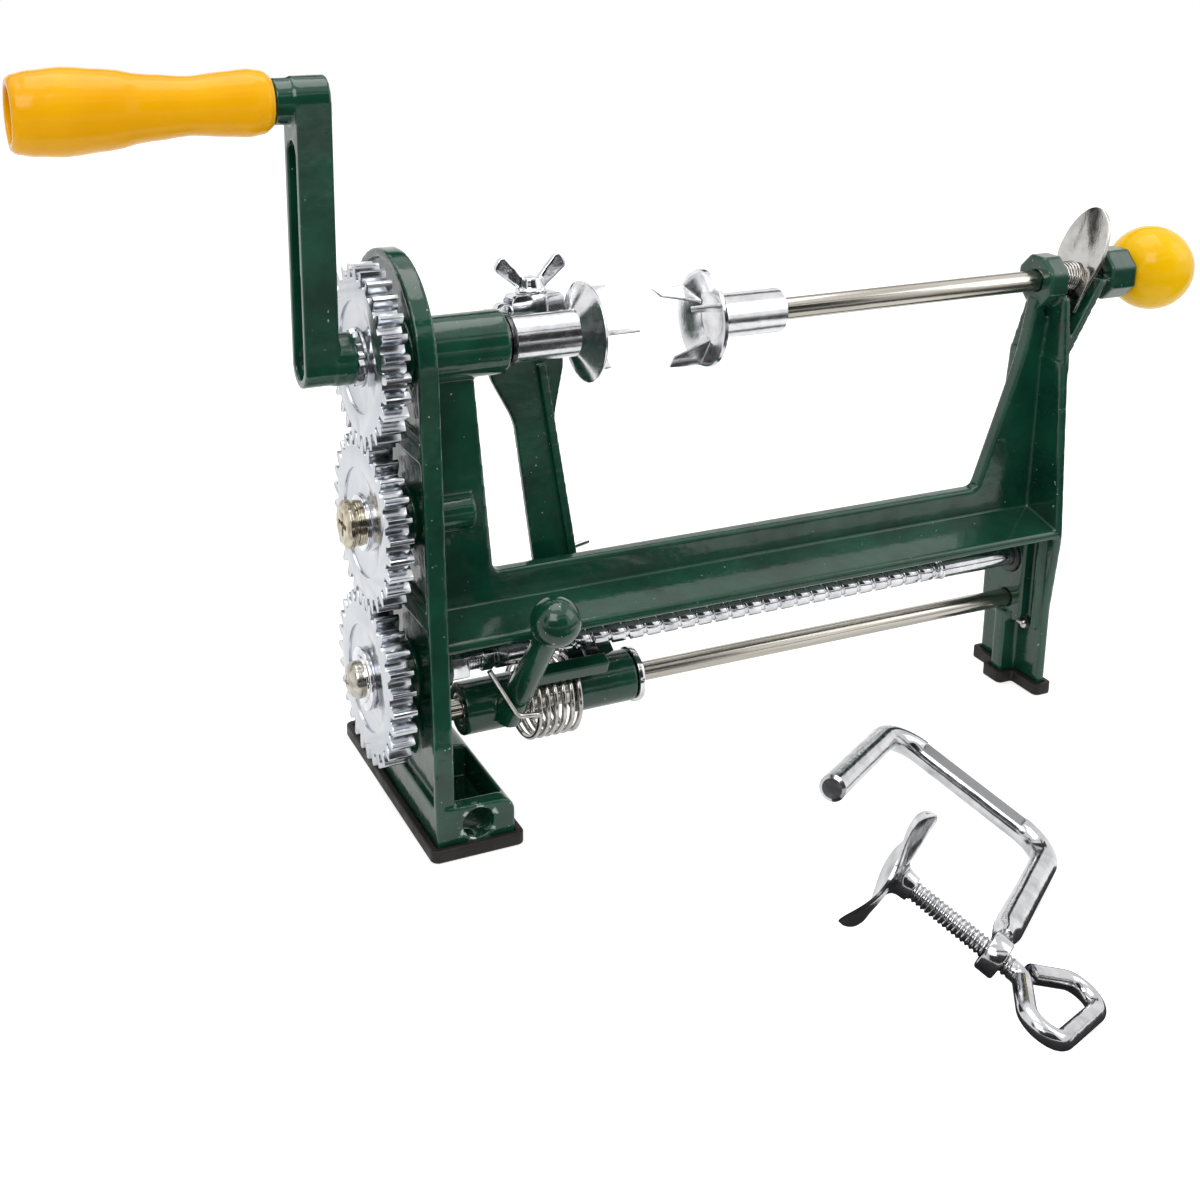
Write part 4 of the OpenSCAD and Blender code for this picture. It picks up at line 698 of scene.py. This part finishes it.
def tube(bm, path, radius, sides, first=Vector((0, 0, 1))):
    """Wire along a path, carried without twist, with slightly domed ends."""
    heads = [(path[min(i + 1, len(path) - 1)] - path[max(i - 1, 0)]).normalized() for i in range(len(path))]
    side = first - heads[0] * first.dot(heads[0])
    rings = []
    for point, head in zip(path, heads):
        side = (side - head * side.dot(head)).normalized()
        other = head.cross(side)
        rings.append([bm.verts.new(point + radius * (side * math.cos(TURN * k / sides)
                                                     + other * math.sin(TURN * k / sides)))
                      for k in range(sides)])
    for a, b in zip(rings, rings[1:]):
        band(bm, a, b)
    for ring, ahead in ((rings[0], -heads[0]), (rings[-1], heads[-1])):
        centre = sum((v.co for v in ring), Vector()) / sides
        inner = [bm.verts.new(centre + (v.co - centre) * 0.75 + ahead * radius * 0.12) for v in ring]
        band(bm, ring, inner)
        bm.faces.new(inner)


def spaced(path, step):
    """The same path with points no further apart than step."""
    out = [path[0]]
    for a, b in zip(path, path[1:]):
        count = max(1, math.ceil((b - a).length / step))
        out += [a.lerp(b, k / count) for k in range(1, count + 1)]
    return out


def bent(corners, radii, steps=10):
    """A path through corners, with each inner corner rounded by its radius."""
    path = [corners[0]]
    for i, radius in enumerate(radii, 1):
        back = (corners[i - 1] - corners[i]).normalized()
        ahead = (corners[i + 1] - corners[i]).normalized()
        half = back.angle(ahead) / 2
        centre = corners[i] + (back + ahead).normalized() * radius / math.sin(half)
        start = corners[i] + back * radius / math.tan(half) - centre
        stop = corners[i] + ahead * radius / math.tan(half) - centre
        sweep = math.pi - 2 * half
        path += [centre + (start * math.sin(sweep * (1 - k / steps)) + stop * math.sin(sweep * k / steps))
                 / math.sin(sweep) for k in range(steps + 1)]
    return path + [corners[-1]]


def new_piece(name, build):
    """A new object whose mesh build(bm) fills."""
    bm = bmesh.new()
    build(bm)
    bmesh.ops.recalc_face_normals(bm, faces=bm.faces)
    return placed(mesh_from(bm, name), name)


def cross_cutter(name, tip, reach, width, depth):
    """Four-winged tapered tool that cuts a screw's recess from the -X side at tip."""
    def build(bm):
        for turn in (0, math.pi / 2):
            spin = Matrix.Translation(tip) @ Matrix.Rotation(turn, 4, "X")
            ends = []
            for along, half, thick in ((-depth, reach, width), (depth, 0.45 * reach, 0.6 * width)):
                ends.append([bm.verts.new(spin @ Vector((along, y, z)))
                             for y, z in ((-half, -thick), (half, -thick), (half, thick), (-half, thick))])
            band(bm, *ends)
            for end in ends:
                bm.faces.new(end)
    return new_piece(name, build)


# ---- Pieces

class PEELER_OT_castings(bpy.types.Operator):
    """Makes the main casting, the crank arm, the lever and the peeling arm with soft enamelled skins"""
    bl_idname = "peeler.castings"
    bl_label = "Castings"

    def execute(self, context):
        forms = context.scene.peeler_forms
        soften_all(["frame_casting"], forms.casting_grain, forms.casting_rounds)
        soften_all(["crank_arm", "carriage_lever", "peel_arm"], forms.small_grain, forms.small_rounds)
        return {"FINISHED"}


class PEELER_OT_feet(bpy.types.Operator):
    """Makes the two rubber feet"""
    bl_idname = "peeler.feet"
    bl_label = "Rubber feet"

    def execute(self, context):
        edge_all(["left_foot_pad", "right_foot_pad"], context.scene.peeler_forms.rubber_edge, 3, 50)
        return {"FINISHED"}


class PEELER_OT_gears(bpy.types.Operator):
    """Makes the three gears with broken tooth edges"""
    bl_idname = "peeler.gears"
    bl_label = "Gears"

    def execute(self, context):
        edge_all(["drive_gear", "idler_gear", "leadscrew_gear"], context.scene.peeler_forms.tooth_edge)
        return {"FINISHED"}


class PEELER_OT_shafts(bpy.types.Operator):
    """Makes the rods, the spindle, their bushes and the carriage's tube and ring"""
    bl_idname = "peeler.shafts"
    bl_label = "Rods and bushes"

    def execute(self, context):
        edge_all(["guide_rod", "spindle", "tail_rod", "grip_pin", "spindle_bush", "leadscrew_bush",
                  "carriage_bush", "carriage_ring"], context.scene.peeler_forms.turned_edge)
        return {"FINISHED"}


# The leadscrew's collar with its rings, and the plain end of its thread, as (place, radius) in mm
COLLAR = ((27.4, 3.6), (27.4, 4.0), (27.62, 4.0), (27.62, 4.85), (27.9, 5.16), (31.4, 5.16), (31.7, 4.9),
          (31.9, 4.45), (32.9, 4.45), (33.1, 4.9), (33.4, 5.16), (36.4, 5.16), (36.6, 5.0), (36.8, 5.16),
          (42.8, 5.16), (43.1, 4.85), (43.2, 4.3), (43.9, 4.3), (44.1, 4.0), (44.1, 3.3))
RUN_OUT = ((219.1, 3.3), (219.1, 4.0), (219.3, 4.3), (220.0, 4.3), (220.1, 4.55), (220.3, 4.64), (221.2, 4.64),
           (221.4, 4.5), (221.45, 4.3))
# Where the groove runs, and its lands' radius
GROOVE_START, GROOVE_STOP, LAND = 44.1 * MM, 219.1 * MM, 4.3 * MM
# Left journal, seat of the nut, and the fine thread's crest, as radii in mm
JOURNAL, NUT_SEAT, FINE_CREST, FINE_DEPTH = 3.44, 4.2, 4.25, 0.55


class PEELER_OT_leadscrew(bpy.types.Operator):
    """Makes the leadscrew: journals, fine thread, ringed collar, wide lands and a narrow groove"""
    bl_idname = "peeler.leadscrew"
    bl_label = "Leadscrew"

    def execute(self, context):
        threads = context.scene.peeler_threads
        low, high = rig.box("leadscrew")
        left, (nut_left, nut_right) = low.x / MM, [corner.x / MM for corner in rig.box("leadscrew_nut")]
        axis = Matrix.Translation((0, 0, middle("leadscrew").z))
        floor = LAND - threads.groove_depth
        soft = 0.12 * MM
        groove = ((0.0, floor + soft), (0.03, floor), (0.13, floor), (0.16, floor + soft),
                  (0.20, LAND - soft), (0.235, LAND), (0.915, LAND), (0.95, LAND - soft))
        crest, root = FINE_CREST * MM, (FINE_CREST - FINE_DEPTH) * MM
        seat_end = nut_right + 0.3

        def build(bm):
            wound(bm, GROOVE_START, GROOVE_STOP, threads.groove_lead, groove, axis, threads.steps)
            wound(bm, seat_end * MM, COLLAR[0][0] * MM, threads.fine_pitch,
                  ((0.0, root), (0.12, root), (0.44, crest), (0.62, crest)), axis, threads.steps)
            lathe(bm, in_mm(((left, 0), (left, 3.1), (left + 0.35, JOURNAL), (nut_left, JOURNAL),
                             (nut_left, NUT_SEAT), (seat_end, NUT_SEAT), (seat_end, COLLAR[0][1]))), axis)
            lathe(bm, in_mm(COLLAR), axis)
            lathe(bm, in_mm(RUN_OUT) + [(high.x - 0.3 * MM, LAND), (high.x, LAND - 0.3 * MM), (high.x, 0)], axis)
        seat_copy(new_piece("leadscrew_cut", build), "leadscrew", sharp=32)
        return {"FINISHED"}


# Half span and depth of the cross recess in each domed head
RECESSES = {"leadscrew_end_screw": 3.4 * MM, "crank_screw": 2.4 * MM}
RECESS_DEPTH = 1.7 * MM


class PEELER_OT_screws(bpy.types.Operator):
    """Makes the screws, washers and nut, with recesses in the two domed heads"""
    bl_idname = "peeler.screws"
    bl_label = "Screws and washers"

    def execute(self, context):
        edge = context.scene.peeler_forms.turned_edge
        edge_all(["idler_screw", "idler_washer", "leadscrew_washer", "leadscrew_nut"], 0.7 * edge)
        for node, reach in RECESSES.items():
            tip = middle(node)
            tip.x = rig.box(node)[0].x
            cutter = cross_cutter(node + "_recess", tip, reach, 0.20 * reach, RECESS_DEPTH)
            seat_copy(edged(node, 0.5 * edge, 2, [cutter]), node)
        return {"FINISHED"}


class PEELER_OT_handles(bpy.types.Operator):
    """Makes the grip and the ball knob"""
    bl_idname = "peeler.handles"
    bl_label = "Grip and ball"

    def execute(self, context):
        forms = context.scene.peeler_forms
        soften_all(["grip"], forms.small_grain, forms.grip_rounds)
        soften_all(["ball_knob"], forms.small_grain, forms.ball_rounds)
        return {"FINISHED"}


class PEELER_OT_chucks(bpy.types.Operator):
    """Makes the two forked chucks"""
    bl_idname = "peeler.chucks"
    bl_label = "Chucks"

    def execute(self, context):
        edge_all(["drive_chuck", "tail_chuck"], context.scene.peeler_forms.sheet_edge, sharp=30)
        return {"FINISHED"}


# Torsion spring: ends and height of its coil, and the corners of its hook and its leg, in mm
COIL_LEFT, COIL_RIGHT, COIL_HEIGHT = 42.14, 61.28, 33.385
HOOK = ((23.78, -19.52, 57.69), (34.02, -19.52, 38.72), (42.9, -19.52, 37.77))
LEG = ((COIL_RIGHT, 0, 46.635), (COIL_RIGHT, 14.417, 46.635), (49.07, 16.405, 76.4), (77.19, 16.97, 81.78))
# Latch spring: its start at the boss, and the foot of the leaning plate that it presses on
LATCH_START, LATCH_FOOT, LATCH_FOOT_HEIGHT = 265.26 * MM, 270.497 * MM, 152.808 * MM
LATCH_LEAN, LATCH_ROOM = math.radians(21.5), 2.12 * MM
LATCH_BLEND_END = 273.5 * MM


def turned_path(share, turns, radius):
    """The point at this share of the torsion coil, which starts on the rod's near side."""
    along = (COIL_LEFT + (COIL_RIGHT - COIL_LEFT) * share) * MM
    return spot(along, radius, math.pi - TURN * turns * share) + Vector((0, 0, COIL_HEIGHT * MM))


class PEELER_OT_springs(bpy.types.Operator):
    """Winds the torsion spring and the latch spring"""
    bl_idname = "peeler.springs"
    bl_label = "Springs"

    def torsion(self, sizes):
        """Hook, coil and leg, which bend between the lever, the carriage and the arm."""
        wire = sizes.torsion_wire
        whole_coil = int(sizes.torsion_turns * sizes.steps)
        half = whole_coil // 2
        path = [turned_path(i / whole_coil, sizes.torsion_turns, sizes.torsion_radius)
                for i in range(whole_coil + 1)]
        hook = bent([Vector(p) * MM for p in HOOK] + [path[0]], (2.2 * wire, 1.2 * wire))
        leg = bent([Vector(p) * MM for p in LEG], (1.6 * wire, 1.6 * wire))
        made = {}
        for name, body, line in (("torsion_hook", None, hook + path[1:half + 1]),
                                 ("torsion_coil", None, path[half:]), ("torsion_leg", "peeling_arm", leg)):
            made[name] = new_piece(name, lambda bm, line=line: tube(bm, line, wire / 2, sizes.sides))
            seat(made[name], body, "spring_steel", ("torsion_spring",), sharp=50)
        start, split = path[0], path[half]
        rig.blend(made["torsion_hook"], "lever", "carriage", start, (split.x, start.y, start.z))
        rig.blend(made["torsion_coil"], "carriage", "peeling_arm", split, (COIL_RIGHT * MM, split.y, split.z))

    def latch(self, sizes):
        """The coil that fans out from the flat boss to the leaning plate."""
        radius, height = sizes.latch_radius, middle("tail_rod").z

        def at(share, across, z):
            far = LATCH_FOOT + (z - LATCH_FOOT_HEIGHT) * math.tan(LATCH_LEAN) - LATCH_ROOM / math.cos(LATCH_LEAN)
            return Vector((LATCH_START + (far - LATCH_START) * share, across, z))

        count = int(sizes.latch_turns * sizes.steps)
        path = [at(0, radius, height - MM)]
        for i in range(count + 1):
            angle = TURN * i / sizes.steps
            path.append(at(i / count, radius * math.cos(angle), height + radius * math.sin(angle)))
        path.append(at(1, radius, height + MM))
        coil = new_piece("latch_coil", lambda bm: tube(bm, path, sizes.latch_wire / 2, sizes.sides,
                                                       Vector((1, 0, 0))))
        seat(coil, None, "spring_steel", ("latch_spring",), sharp=50)
        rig.blend(coil, "frame", "latch", (LATCH_START, 0, height), (LATCH_BLEND_END, 0, height))

    def execute(self, context):
        self.torsion(context.scene.peeler_springs)
        self.latch(context.scene.peeler_springs)
        return {"FINISHED"}


class PEELER_OT_blade(bpy.types.Operator):
    """Makes the blade with its bar and cap, the wing bolt and the follower"""
    bl_idname = "peeler.blade"
    bl_label = "Blade and wing bolt"

    def execute(self, context):
        forms = context.scene.peeler_forms
        edge_all(["blade_plate", "blade_cap", "follower"], forms.sheet_edge)
        edge_all(["blade"], 0.4 * forms.sheet_edge)
        soften_all(["wing_bolt"], 0.9 * forms.fine_grain, forms.fine_rounds)
        return {"FINISHED"}


class PEELER_OT_latch(bpy.types.Operator):
    """Makes the leaning latch plate"""
    bl_idname = "peeler.latch"
    bl_label = "Latch plate"

    def execute(self, context):
        edge_all(["latch_plate"], 1.3 * context.scene.peeler_forms.sheet_edge, 3, 45)
        return {"FINISHED"}


# The clamp lies at a slant: this carries its own drawing into the scene
CLAMP = (Matrix.Translation(Vector((153.4, -67, 31.3)) * MM)
         @ Euler([math.radians(a) for a in (-26.6, -11.6, -140.9)]).to_matrix().to_4x4())
# Length of its upper arm, of its back and of its lower arm up to the eye
CLAMP_ARM, CLAMP_BACK, CLAMP_REACH = 71 * MM, 63 * MM, 92 * MM
# The eye's ring in section, as (place, radius) in mm
EYE = ((-2.8, 3.05), (-2.8, 5.4), (-2.6, 5.8), (-2.1, 6.0), (2.1, 6.0), (2.6, 5.8), (2.8, 5.4), (2.8, 3.05),
       (-2.8, 3.05))
# Both ends of the screw's thread, its pad's place, its handle's last corners and its pad's socket
SCREW_START, SCREW_STOP, PAD_AT = 33.9 * MM, 68.4 * MM, 30.24 * MM
HANDLE = ((129.2, 84, 0), (53.6, 98.4, 0), (86.3, 73.8, 0))
SOCKET = ((0.3, 6.4), (0.7, 5.4), (1.4, 4.6), (2.6, 4.1), (5.0, 3.9), (5.4, 3.6), (5.4, 3.08), (2.4, 3.08),
          (2.4, 0))
FLAT_LEAN = math.radians(97)
FLAT_FACE = Vector((-math.cos(FLAT_LEAN), 0, math.sin(FLAT_LEAN)))
UP = Vector((0, 0, 1))


class PEELER_OT_clamp(bpy.types.Operator):
    """Makes the table clamp: bent bar, threaded screw with its handle, and wavy pad"""
    bl_idname = "peeler.clamp"
    bl_label = "Table clamp"

    def bar(self, sizes):
        """The bent bar with its long flat, its pressed end and the eye."""
        flat_at, flat_half = sizes.bar / 2 - sizes.flat_depth, sizes.flat_length / 2

        def build(bm):
            corners = [Vector(c) for c in ((CLAMP_ARM, 0, 0), (0, 0, 0), (0, CLAMP_BACK, 0),
                                           (CLAMP_REACH - 9.5 * MM, CLAMP_BACK, 0))]
            path = spaced(bent(corners, (1.5 * sizes.bar, 1.5 * sizes.bar), 24), 0.7 * MM)
            tube(bm, path, sizes.bar / 2, 48, UP)
            for vertex in bm.verts:
                p = vertex.co
                if p.y > CLAMP_BACK / 2:
                    # The end is pressed flat before it meets the eye
                    share = max(0.0, min(1.0, (p.x - CLAMP_REACH + 21 * MM) / (9 * MM)))
                    share = share * share * (3 - 2 * share)
                    p.y = CLAMP_BACK + (p.y - CLAMP_BACK) * (1 - 0.34 * share)
                    p.z *= 1 + 0.13 * share
                high = p.dot(FLAT_FACE)
                if high > flat_at and abs(p.y - CLAMP_BACK / 2) < flat_half:
                    vertex.co = p - FLAT_FACE * (high - flat_at)
            eye = Matrix.Translation((CLAMP_REACH, CLAMP_BACK, 0)) @ Matrix.Rotation(math.pi / 2, 4, "Z")
            lathe(bm, in_mm(EYE), eye, 64)
            bmesh.ops.transform(bm, matrix=CLAMP, verts=bm.verts)

        made = new_piece("clamp_bar", build)
        marks = made.data.attributes.new("pressed", "FLOAT", "POINT")
        into = CLAMP.inverted()
        for vertex, mark in zip(made.data.vertices, marks.data):
            p = into @ vertex.co
            on_flat = abs(p.dot(FLAT_FACE) - flat_at) < 0.02 * MM and abs(p.y - CLAMP_BACK / 2) < flat_half
            mark.value = 1.0 if on_flat else 0.0
        seat_copy(made, "clamp_rod", sharp=24)

    def screw(self, sizes, threads, run):
        """The threaded screw with a handle of bent wire."""
        crest, wire = sizes.screw / 2, sizes.handle
        root = crest - threads.clamp_depth
        thread = ((0.0, root), (0.14, root), (0.46, crest - 0.03 * MM), (0.54, crest), (0.64, crest),
                  (0.70, crest - 0.03 * MM))
        under = SCREW_START - 0.05 * MM

        def build(bm):
            wound(bm, SCREW_START, SCREW_STOP, threads.clamp_pitch, thread, run, threads.steps)
            lathe(bm, [(under, 0), (under, root), (SCREW_STOP, root)]
                  + in_mm(((0, 2.7), (0.6, 2.85), (1.4, 2.8), (1.4, 0)), SCREW_STOP), run, 48)
            corners = [Vector((CLAMP_REACH, y * MM, 0)) for y in (68.6, 72)] + [Vector(c) * MM for c in HANDLE]
            # The first bend is tighter than the others, because its straight run is short
            path = spaced(bent(corners, (0.6 * wire, 1.1 * wire, 1.1 * wire), 20), 1.2 * MM)
            tube(bm, path, wire / 2, 40, UP)
            bmesh.ops.transform(bm, matrix=CLAMP, verts=bm.verts)
        seat_copy(new_piece("clamp_screw_cut", build), "clamp_screw", sharp=40)

    def pad(self, sizes, run):
        """The pressed pad with three waves in its rim, and its socket."""
        around, rings, rim = 120, 18, sizes.pad / 2

        def ring(bm, share, side):
            slope = max(0.0, (share - 0.2) / 0.8)
            drop = -2.94 * MM * slope * slope * (2 - slope)
            edge = 0.35 * MM if share == 1 and side > 0 else 0
            made = []
            for k in range(around):
                angle = TURN * k / around
                wave = sizes.pad_wave * slope ** 1.6 * math.sin(3 * angle + 0.9)
                r = min(rim * share * (1 + 0.03 * slope * math.sin(3 * angle + 2.2)), rim)
                made.append(bm.verts.new((CLAMP_REACH + r * math.cos(angle),
                                          PAD_AT + drop + wave + side * 0.55 * MM - edge, r * math.sin(angle))))
            return made

        def build(bm):
            layers = [[ring(bm, i / rings, side) for i in range(1, rings + 1)] for side in (-1, 1)]
            for grid in layers:
                bm.faces.new(grid[0])
                for a, b in zip(grid, grid[1:]):
                    band(bm, a, b)
            band(bm, layers[0][-1], layers[1][-1])
            lathe(bm, in_mm(SOCKET, PAD_AT), run, 64)
            bmesh.ops.transform(bm, matrix=CLAMP, verts=bm.verts)
        seat_copy(new_piece("clamp_pad_pressed", build), "clamp_pad", sharp=50)

    def execute(self, context):
        sizes, threads = context.scene.peeler_clamp, context.scene.peeler_threads
        run = Matrix.Translation((CLAMP_REACH, 0, 0)) @ Matrix.Rotation(math.pi / 2, 4, "Z")
        self.bar(sizes)
        self.screw(sizes, threads, run)
        self.pad(sizes, run)
        return {"FINISHED"}


LOCK_PIN_PLACE = Vector((257.6, -9.3, 27.0)) * MM
LOCK_PIN = ((-3.0, 0), (-3.0, 1.3), (0.5, 1.3), (0.5, 2.0), (1.1, 2.0), (1.5, 1.75), (1.8, 1.2), (1.95, 0.6),
            (2.0, 0))


class PEELER_OT_small_parts(bpy.types.Operator):
    """Makes the lock pin in the right leg"""
    bl_idname = "peeler.small_parts"
    bl_label = "Lock pin"

    def execute(self, context):
        place = Matrix.Translation(LOCK_PIN_PLACE) @ Matrix.Rotation(-math.pi / 2, 4, "Z")
        seat(new_piece("lock_pin", lambda bm: lathe(bm, in_mm(LOCK_PIN), place, 40)), "frame", "nickel_rod", sharp=40)
        return {"FINISHED"}


# ---- Stage

def lamp(name, place, target, size, power):
    """A soft square lamp that faces target."""
    data = bpy.data.lights.new(name, "AREA")
    data.energy, data.size = power, size
    obj = placed(data, name)
    obj.location = place
    obj.rotation_mode = "QUATERNION"
    obj.rotation_quaternion = (Vector(target) - Vector(place)).to_track_quat("-Z", "Y")
    obj.visible_camera = False
    return obj


def stage_sheet(name, centre, wide, high, facing, material):
    """A flat stage sheet at centre, whose face looks towards facing."""
    turn = (Vector(facing) - Vector(centre)).to_track_quat("Z", "Y").to_matrix()

    def build(bm):
        corners = [(x * wide / 2, y * high / 2, 0) for x, y in ((-1, -1), (1, -1), (1, 1), (-1, 1))]
        bm.faces.new([bm.verts.new(Vector(centre) + turn @ Vector(corner)) for corner in corners])
    obj = new_piece(name, build)
    obj.data.materials.append(material)
    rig.stage(obj)
    return obj


# What the lamps and most cards face
HEART = (0.1, 0, 0.12)
FLOOR_DROP, CARD_DROP = -0.0003, -0.0001
# Cards that only show in gloss and metal, where a real studio is dark:
# tone, centre, width, height and the point that each one faces
CARDS = {
    "card_front": (0.012, (-0.55, -1.5, 0.62), 3.0, 1.05, (-0.55, 0, 0.62)),
    "card_high": (0.012, (0.1, -1.2, 1.32), 3.6, 0.16, HEART),
    "card_left": (0.012, (-1.5, -0.5, 0.9), 0.5, 0.9, HEART),
    "card_back": (0.012, (0.3, 1.4, 1.1), 3.6, 0.4, HEART),
    "card_near_left": (0.012, (-0.6, -0.37, CARD_DROP), 1.6, 0.50, (-0.6, -0.37, 1)),
    "card_near_right": (0.012, (0.70, -0.43, CARD_DROP), 1.0, 0.38, (0.70, -0.43, 1)),
    "card_right": (0.012, (0.81, -0.15, CARD_DROP), 0.78, 0.18, (0.81, -0.15, 1)),
    "card_far": (0.22, (0.1, -1.05, CARD_DROP), 3.0, 0.84, (0.1, -1.05, 1)),
}


class PEELER_OT_stage(bpy.types.Operator):
    """Sets the white studio: floor, world, lamps, dark cards for the metal, and the camera"""
    bl_idname = "peeler.stage"
    bl_label = "Stage"

    def world(self, scene, ambient):
        """White for the camera and mirrors, softer light for the rest."""
        world = bpy.data.worlds.new("studio")
        scene.world = world
        world.use_nodes = True
        sky = Nodes(world.node_tree)
        back = sky.tree.nodes["Background"]
        back.inputs["Color"].default_value = (1, 1, 1, 1)
        rays = sky.new("LightPath").outputs
        bright = sky.math("MAXIMUM", sky.math("MAXIMUM", rays["Is Camera Ray"], rays["Is Glossy Ray"]),
                          rays["Is Transmission Ray"])
        level = sky.new("MapRange")
        sky.feed(level.inputs["Value"], bright)
        level.inputs["To Min"].default_value = ambient
        sky.feed(back.inputs["Strength"], level.outputs["Result"])

    def floor(self, tint):
        """Pale paper that glows a little for the camera and, less, in reflections."""
        paper = Finish("floor_paper", roughness=0.7)
        paper.set("Base Color", paper.mix(paper.span(paper.noise(0.2, 2), 0.3, 0.7), tint, dimmed(tint, 0.985)))
        paper.set("Emission Color", (1, 1, 1, 1))
        rays = paper.new("LightPath").outputs
        mirrored = paper.math("MAXIMUM", rays["Is Glossy Ray"], rays["Is Transmission Ray"])
        paper.set("Emission Strength", paper.math("ADD", paper.math("MULTIPLY", rays["Is Camera Ray"], 0.62),
                                                  paper.math("MULTIPLY", mirrored, 0.28)))
        stage_sheet("floor", (0.1, 0, FLOOR_DROP), 3.4, 3.4, (0.1, 0, 1), paper.material)

    def cards(self):
        for name, (tone, centre, wide, high, facing) in CARDS.items():
            felt = Finish(name + "_felt", roughness=0.9)
            felt.set("Base Color", felt.mix(felt.noise(0.3, 2), (tone, tone, tone, 1),
                                            (1.2 * tone, 1.2 * tone, 1.25 * tone, 1)))
            card = stage_sheet(name, centre, wide, high, facing, felt.material)
            card.visible_camera = card.visible_diffuse = card.visible_shadow = False

    def camera(self, scene, stage):
        """The camera at its place, turned by yaw, pitch and roll."""
        yaw, pitch, roll = stage.camera_yaw, stage.camera_pitch, stage.camera_roll
        ahead = Vector((math.sin(yaw) * math.cos(pitch), math.cos(yaw) * math.cos(pitch), -math.sin(pitch)))
        level_right = Vector((math.cos(yaw), -math.sin(yaw), 0))
        level_up = level_right.cross(ahead)
        right = level_right * math.cos(roll) + level_up * math.sin(roll)
        up = level_up * math.cos(roll) - level_right * math.sin(roll)
        turn = Matrix((right, up, -ahead)).transposed().to_4x4()
        camera = placed(bpy.data.cameras.new("camera"), "camera")
        camera.matrix_world = Matrix.Translation(stage.camera_place) @ turn
        camera.data.sensor_width = 36
        camera.data.lens = stage.camera_lens
        camera.data.shift_x, camera.data.shift_y = stage.camera_shift
        camera.data.clip_start = 0.01
        scene.camera = camera

    def execute(self, context):
        scene, stage = context.scene, context.scene.peeler_stage
        scene.view_settings.view_transform = "Standard"
        self.world(scene, stage.ambient)
        self.floor(scene.peeler_finishes.floor)
        self.cards()
        lamp("key_lamp", (-0.7, -1.0, 1.3), HEART, 0.9, stage.key_power)
        lamp("fill_lamp", (1.3, -0.6, 0.9), HEART, 0.9, stage.fill_power)
        lamp("top_lamp", (0.15, 0.15, 1.6), HEART, 1.1, stage.top_power)
        self.camera(scene, stage)
        return {"FINISHED"}


# ---- Sidebar

PIECES = (PEELER_OT_castings, PEELER_OT_feet, PEELER_OT_gears, PEELER_OT_shafts, PEELER_OT_leadscrew,
          PEELER_OT_screws, PEELER_OT_handles, PEELER_OT_chucks, PEELER_OT_springs, PEELER_OT_blade,
          PEELER_OT_latch, PEELER_OT_clamp, PEELER_OT_small_parts, PEELER_OT_stage)
GROUPS = (("peeler_finishes", PeelerFinishes), ("peeler_forms", PeelerForms), ("peeler_threads", PeelerThreads),
          ("peeler_clamp", PeelerClamp), ("peeler_springs", PeelerSprings), ("peeler_stage", PeelerStage))


class PEELER_PT_sidebar(bpy.types.Panel):
    """Lists the pieces and their sizes"""
    bl_idname = "PEELER_PT_sidebar"
    bl_label = "Fruit Peeler"
    bl_space_type = "VIEW_3D"
    bl_region_type = "UI"
    bl_category = "Fruit Peeler"

    def draw(self, context):
        for piece in PIECES:
            self.layout.operator(piece.bl_idname)
        for key, group in GROUPS:
            box = self.layout.box()
            box.label(text=group.__doc__)
            for name in group.__annotations__:
                box.prop(getattr(context.scene, key), name)


def register():
    for key, group in GROUPS:
        bpy.utils.register_class(group)
        setattr(bpy.types.Scene, key, PointerProperty(type=group))
    for kind in PIECES + (PEELER_PT_sidebar,):
        bpy.utils.register_class(kind)


def unregister():
    for kind in (PEELER_PT_sidebar,) + PIECES[::-1]:
        bpy.utils.unregister_class(kind)
    for key, group in GROUPS[::-1]:
        delattr(bpy.types.Scene, key)
        bpy.utils.unregister_class(group)


def main():
    """Builds every piece in order and notes the sizes of the exact and the finished peeler."""
    register()
    bpy.ops.peeler.castings()
    bpy.ops.peeler.feet()
    bpy.ops.peeler.gears()
    bpy.ops.peeler.shafts()
    bpy.ops.peeler.leadscrew()
    bpy.ops.peeler.screws()
    bpy.ops.peeler.handles()
    bpy.ops.peeler.chucks()
    bpy.ops.peeler.springs()
    bpy.ops.peeler.blade()
    bpy.ops.peeler.latch()
    bpy.ops.peeler.clamp()
    bpy.ops.peeler.small_parts()
    bpy.ops.peeler.stage()
    finished = [list(corner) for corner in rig.bounds()]
    with open("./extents.json", "w") as out:
        json.dump({"exact": EXACT_BOX, "finished": finished}, out)


if __name__ == "__main__":
    main()
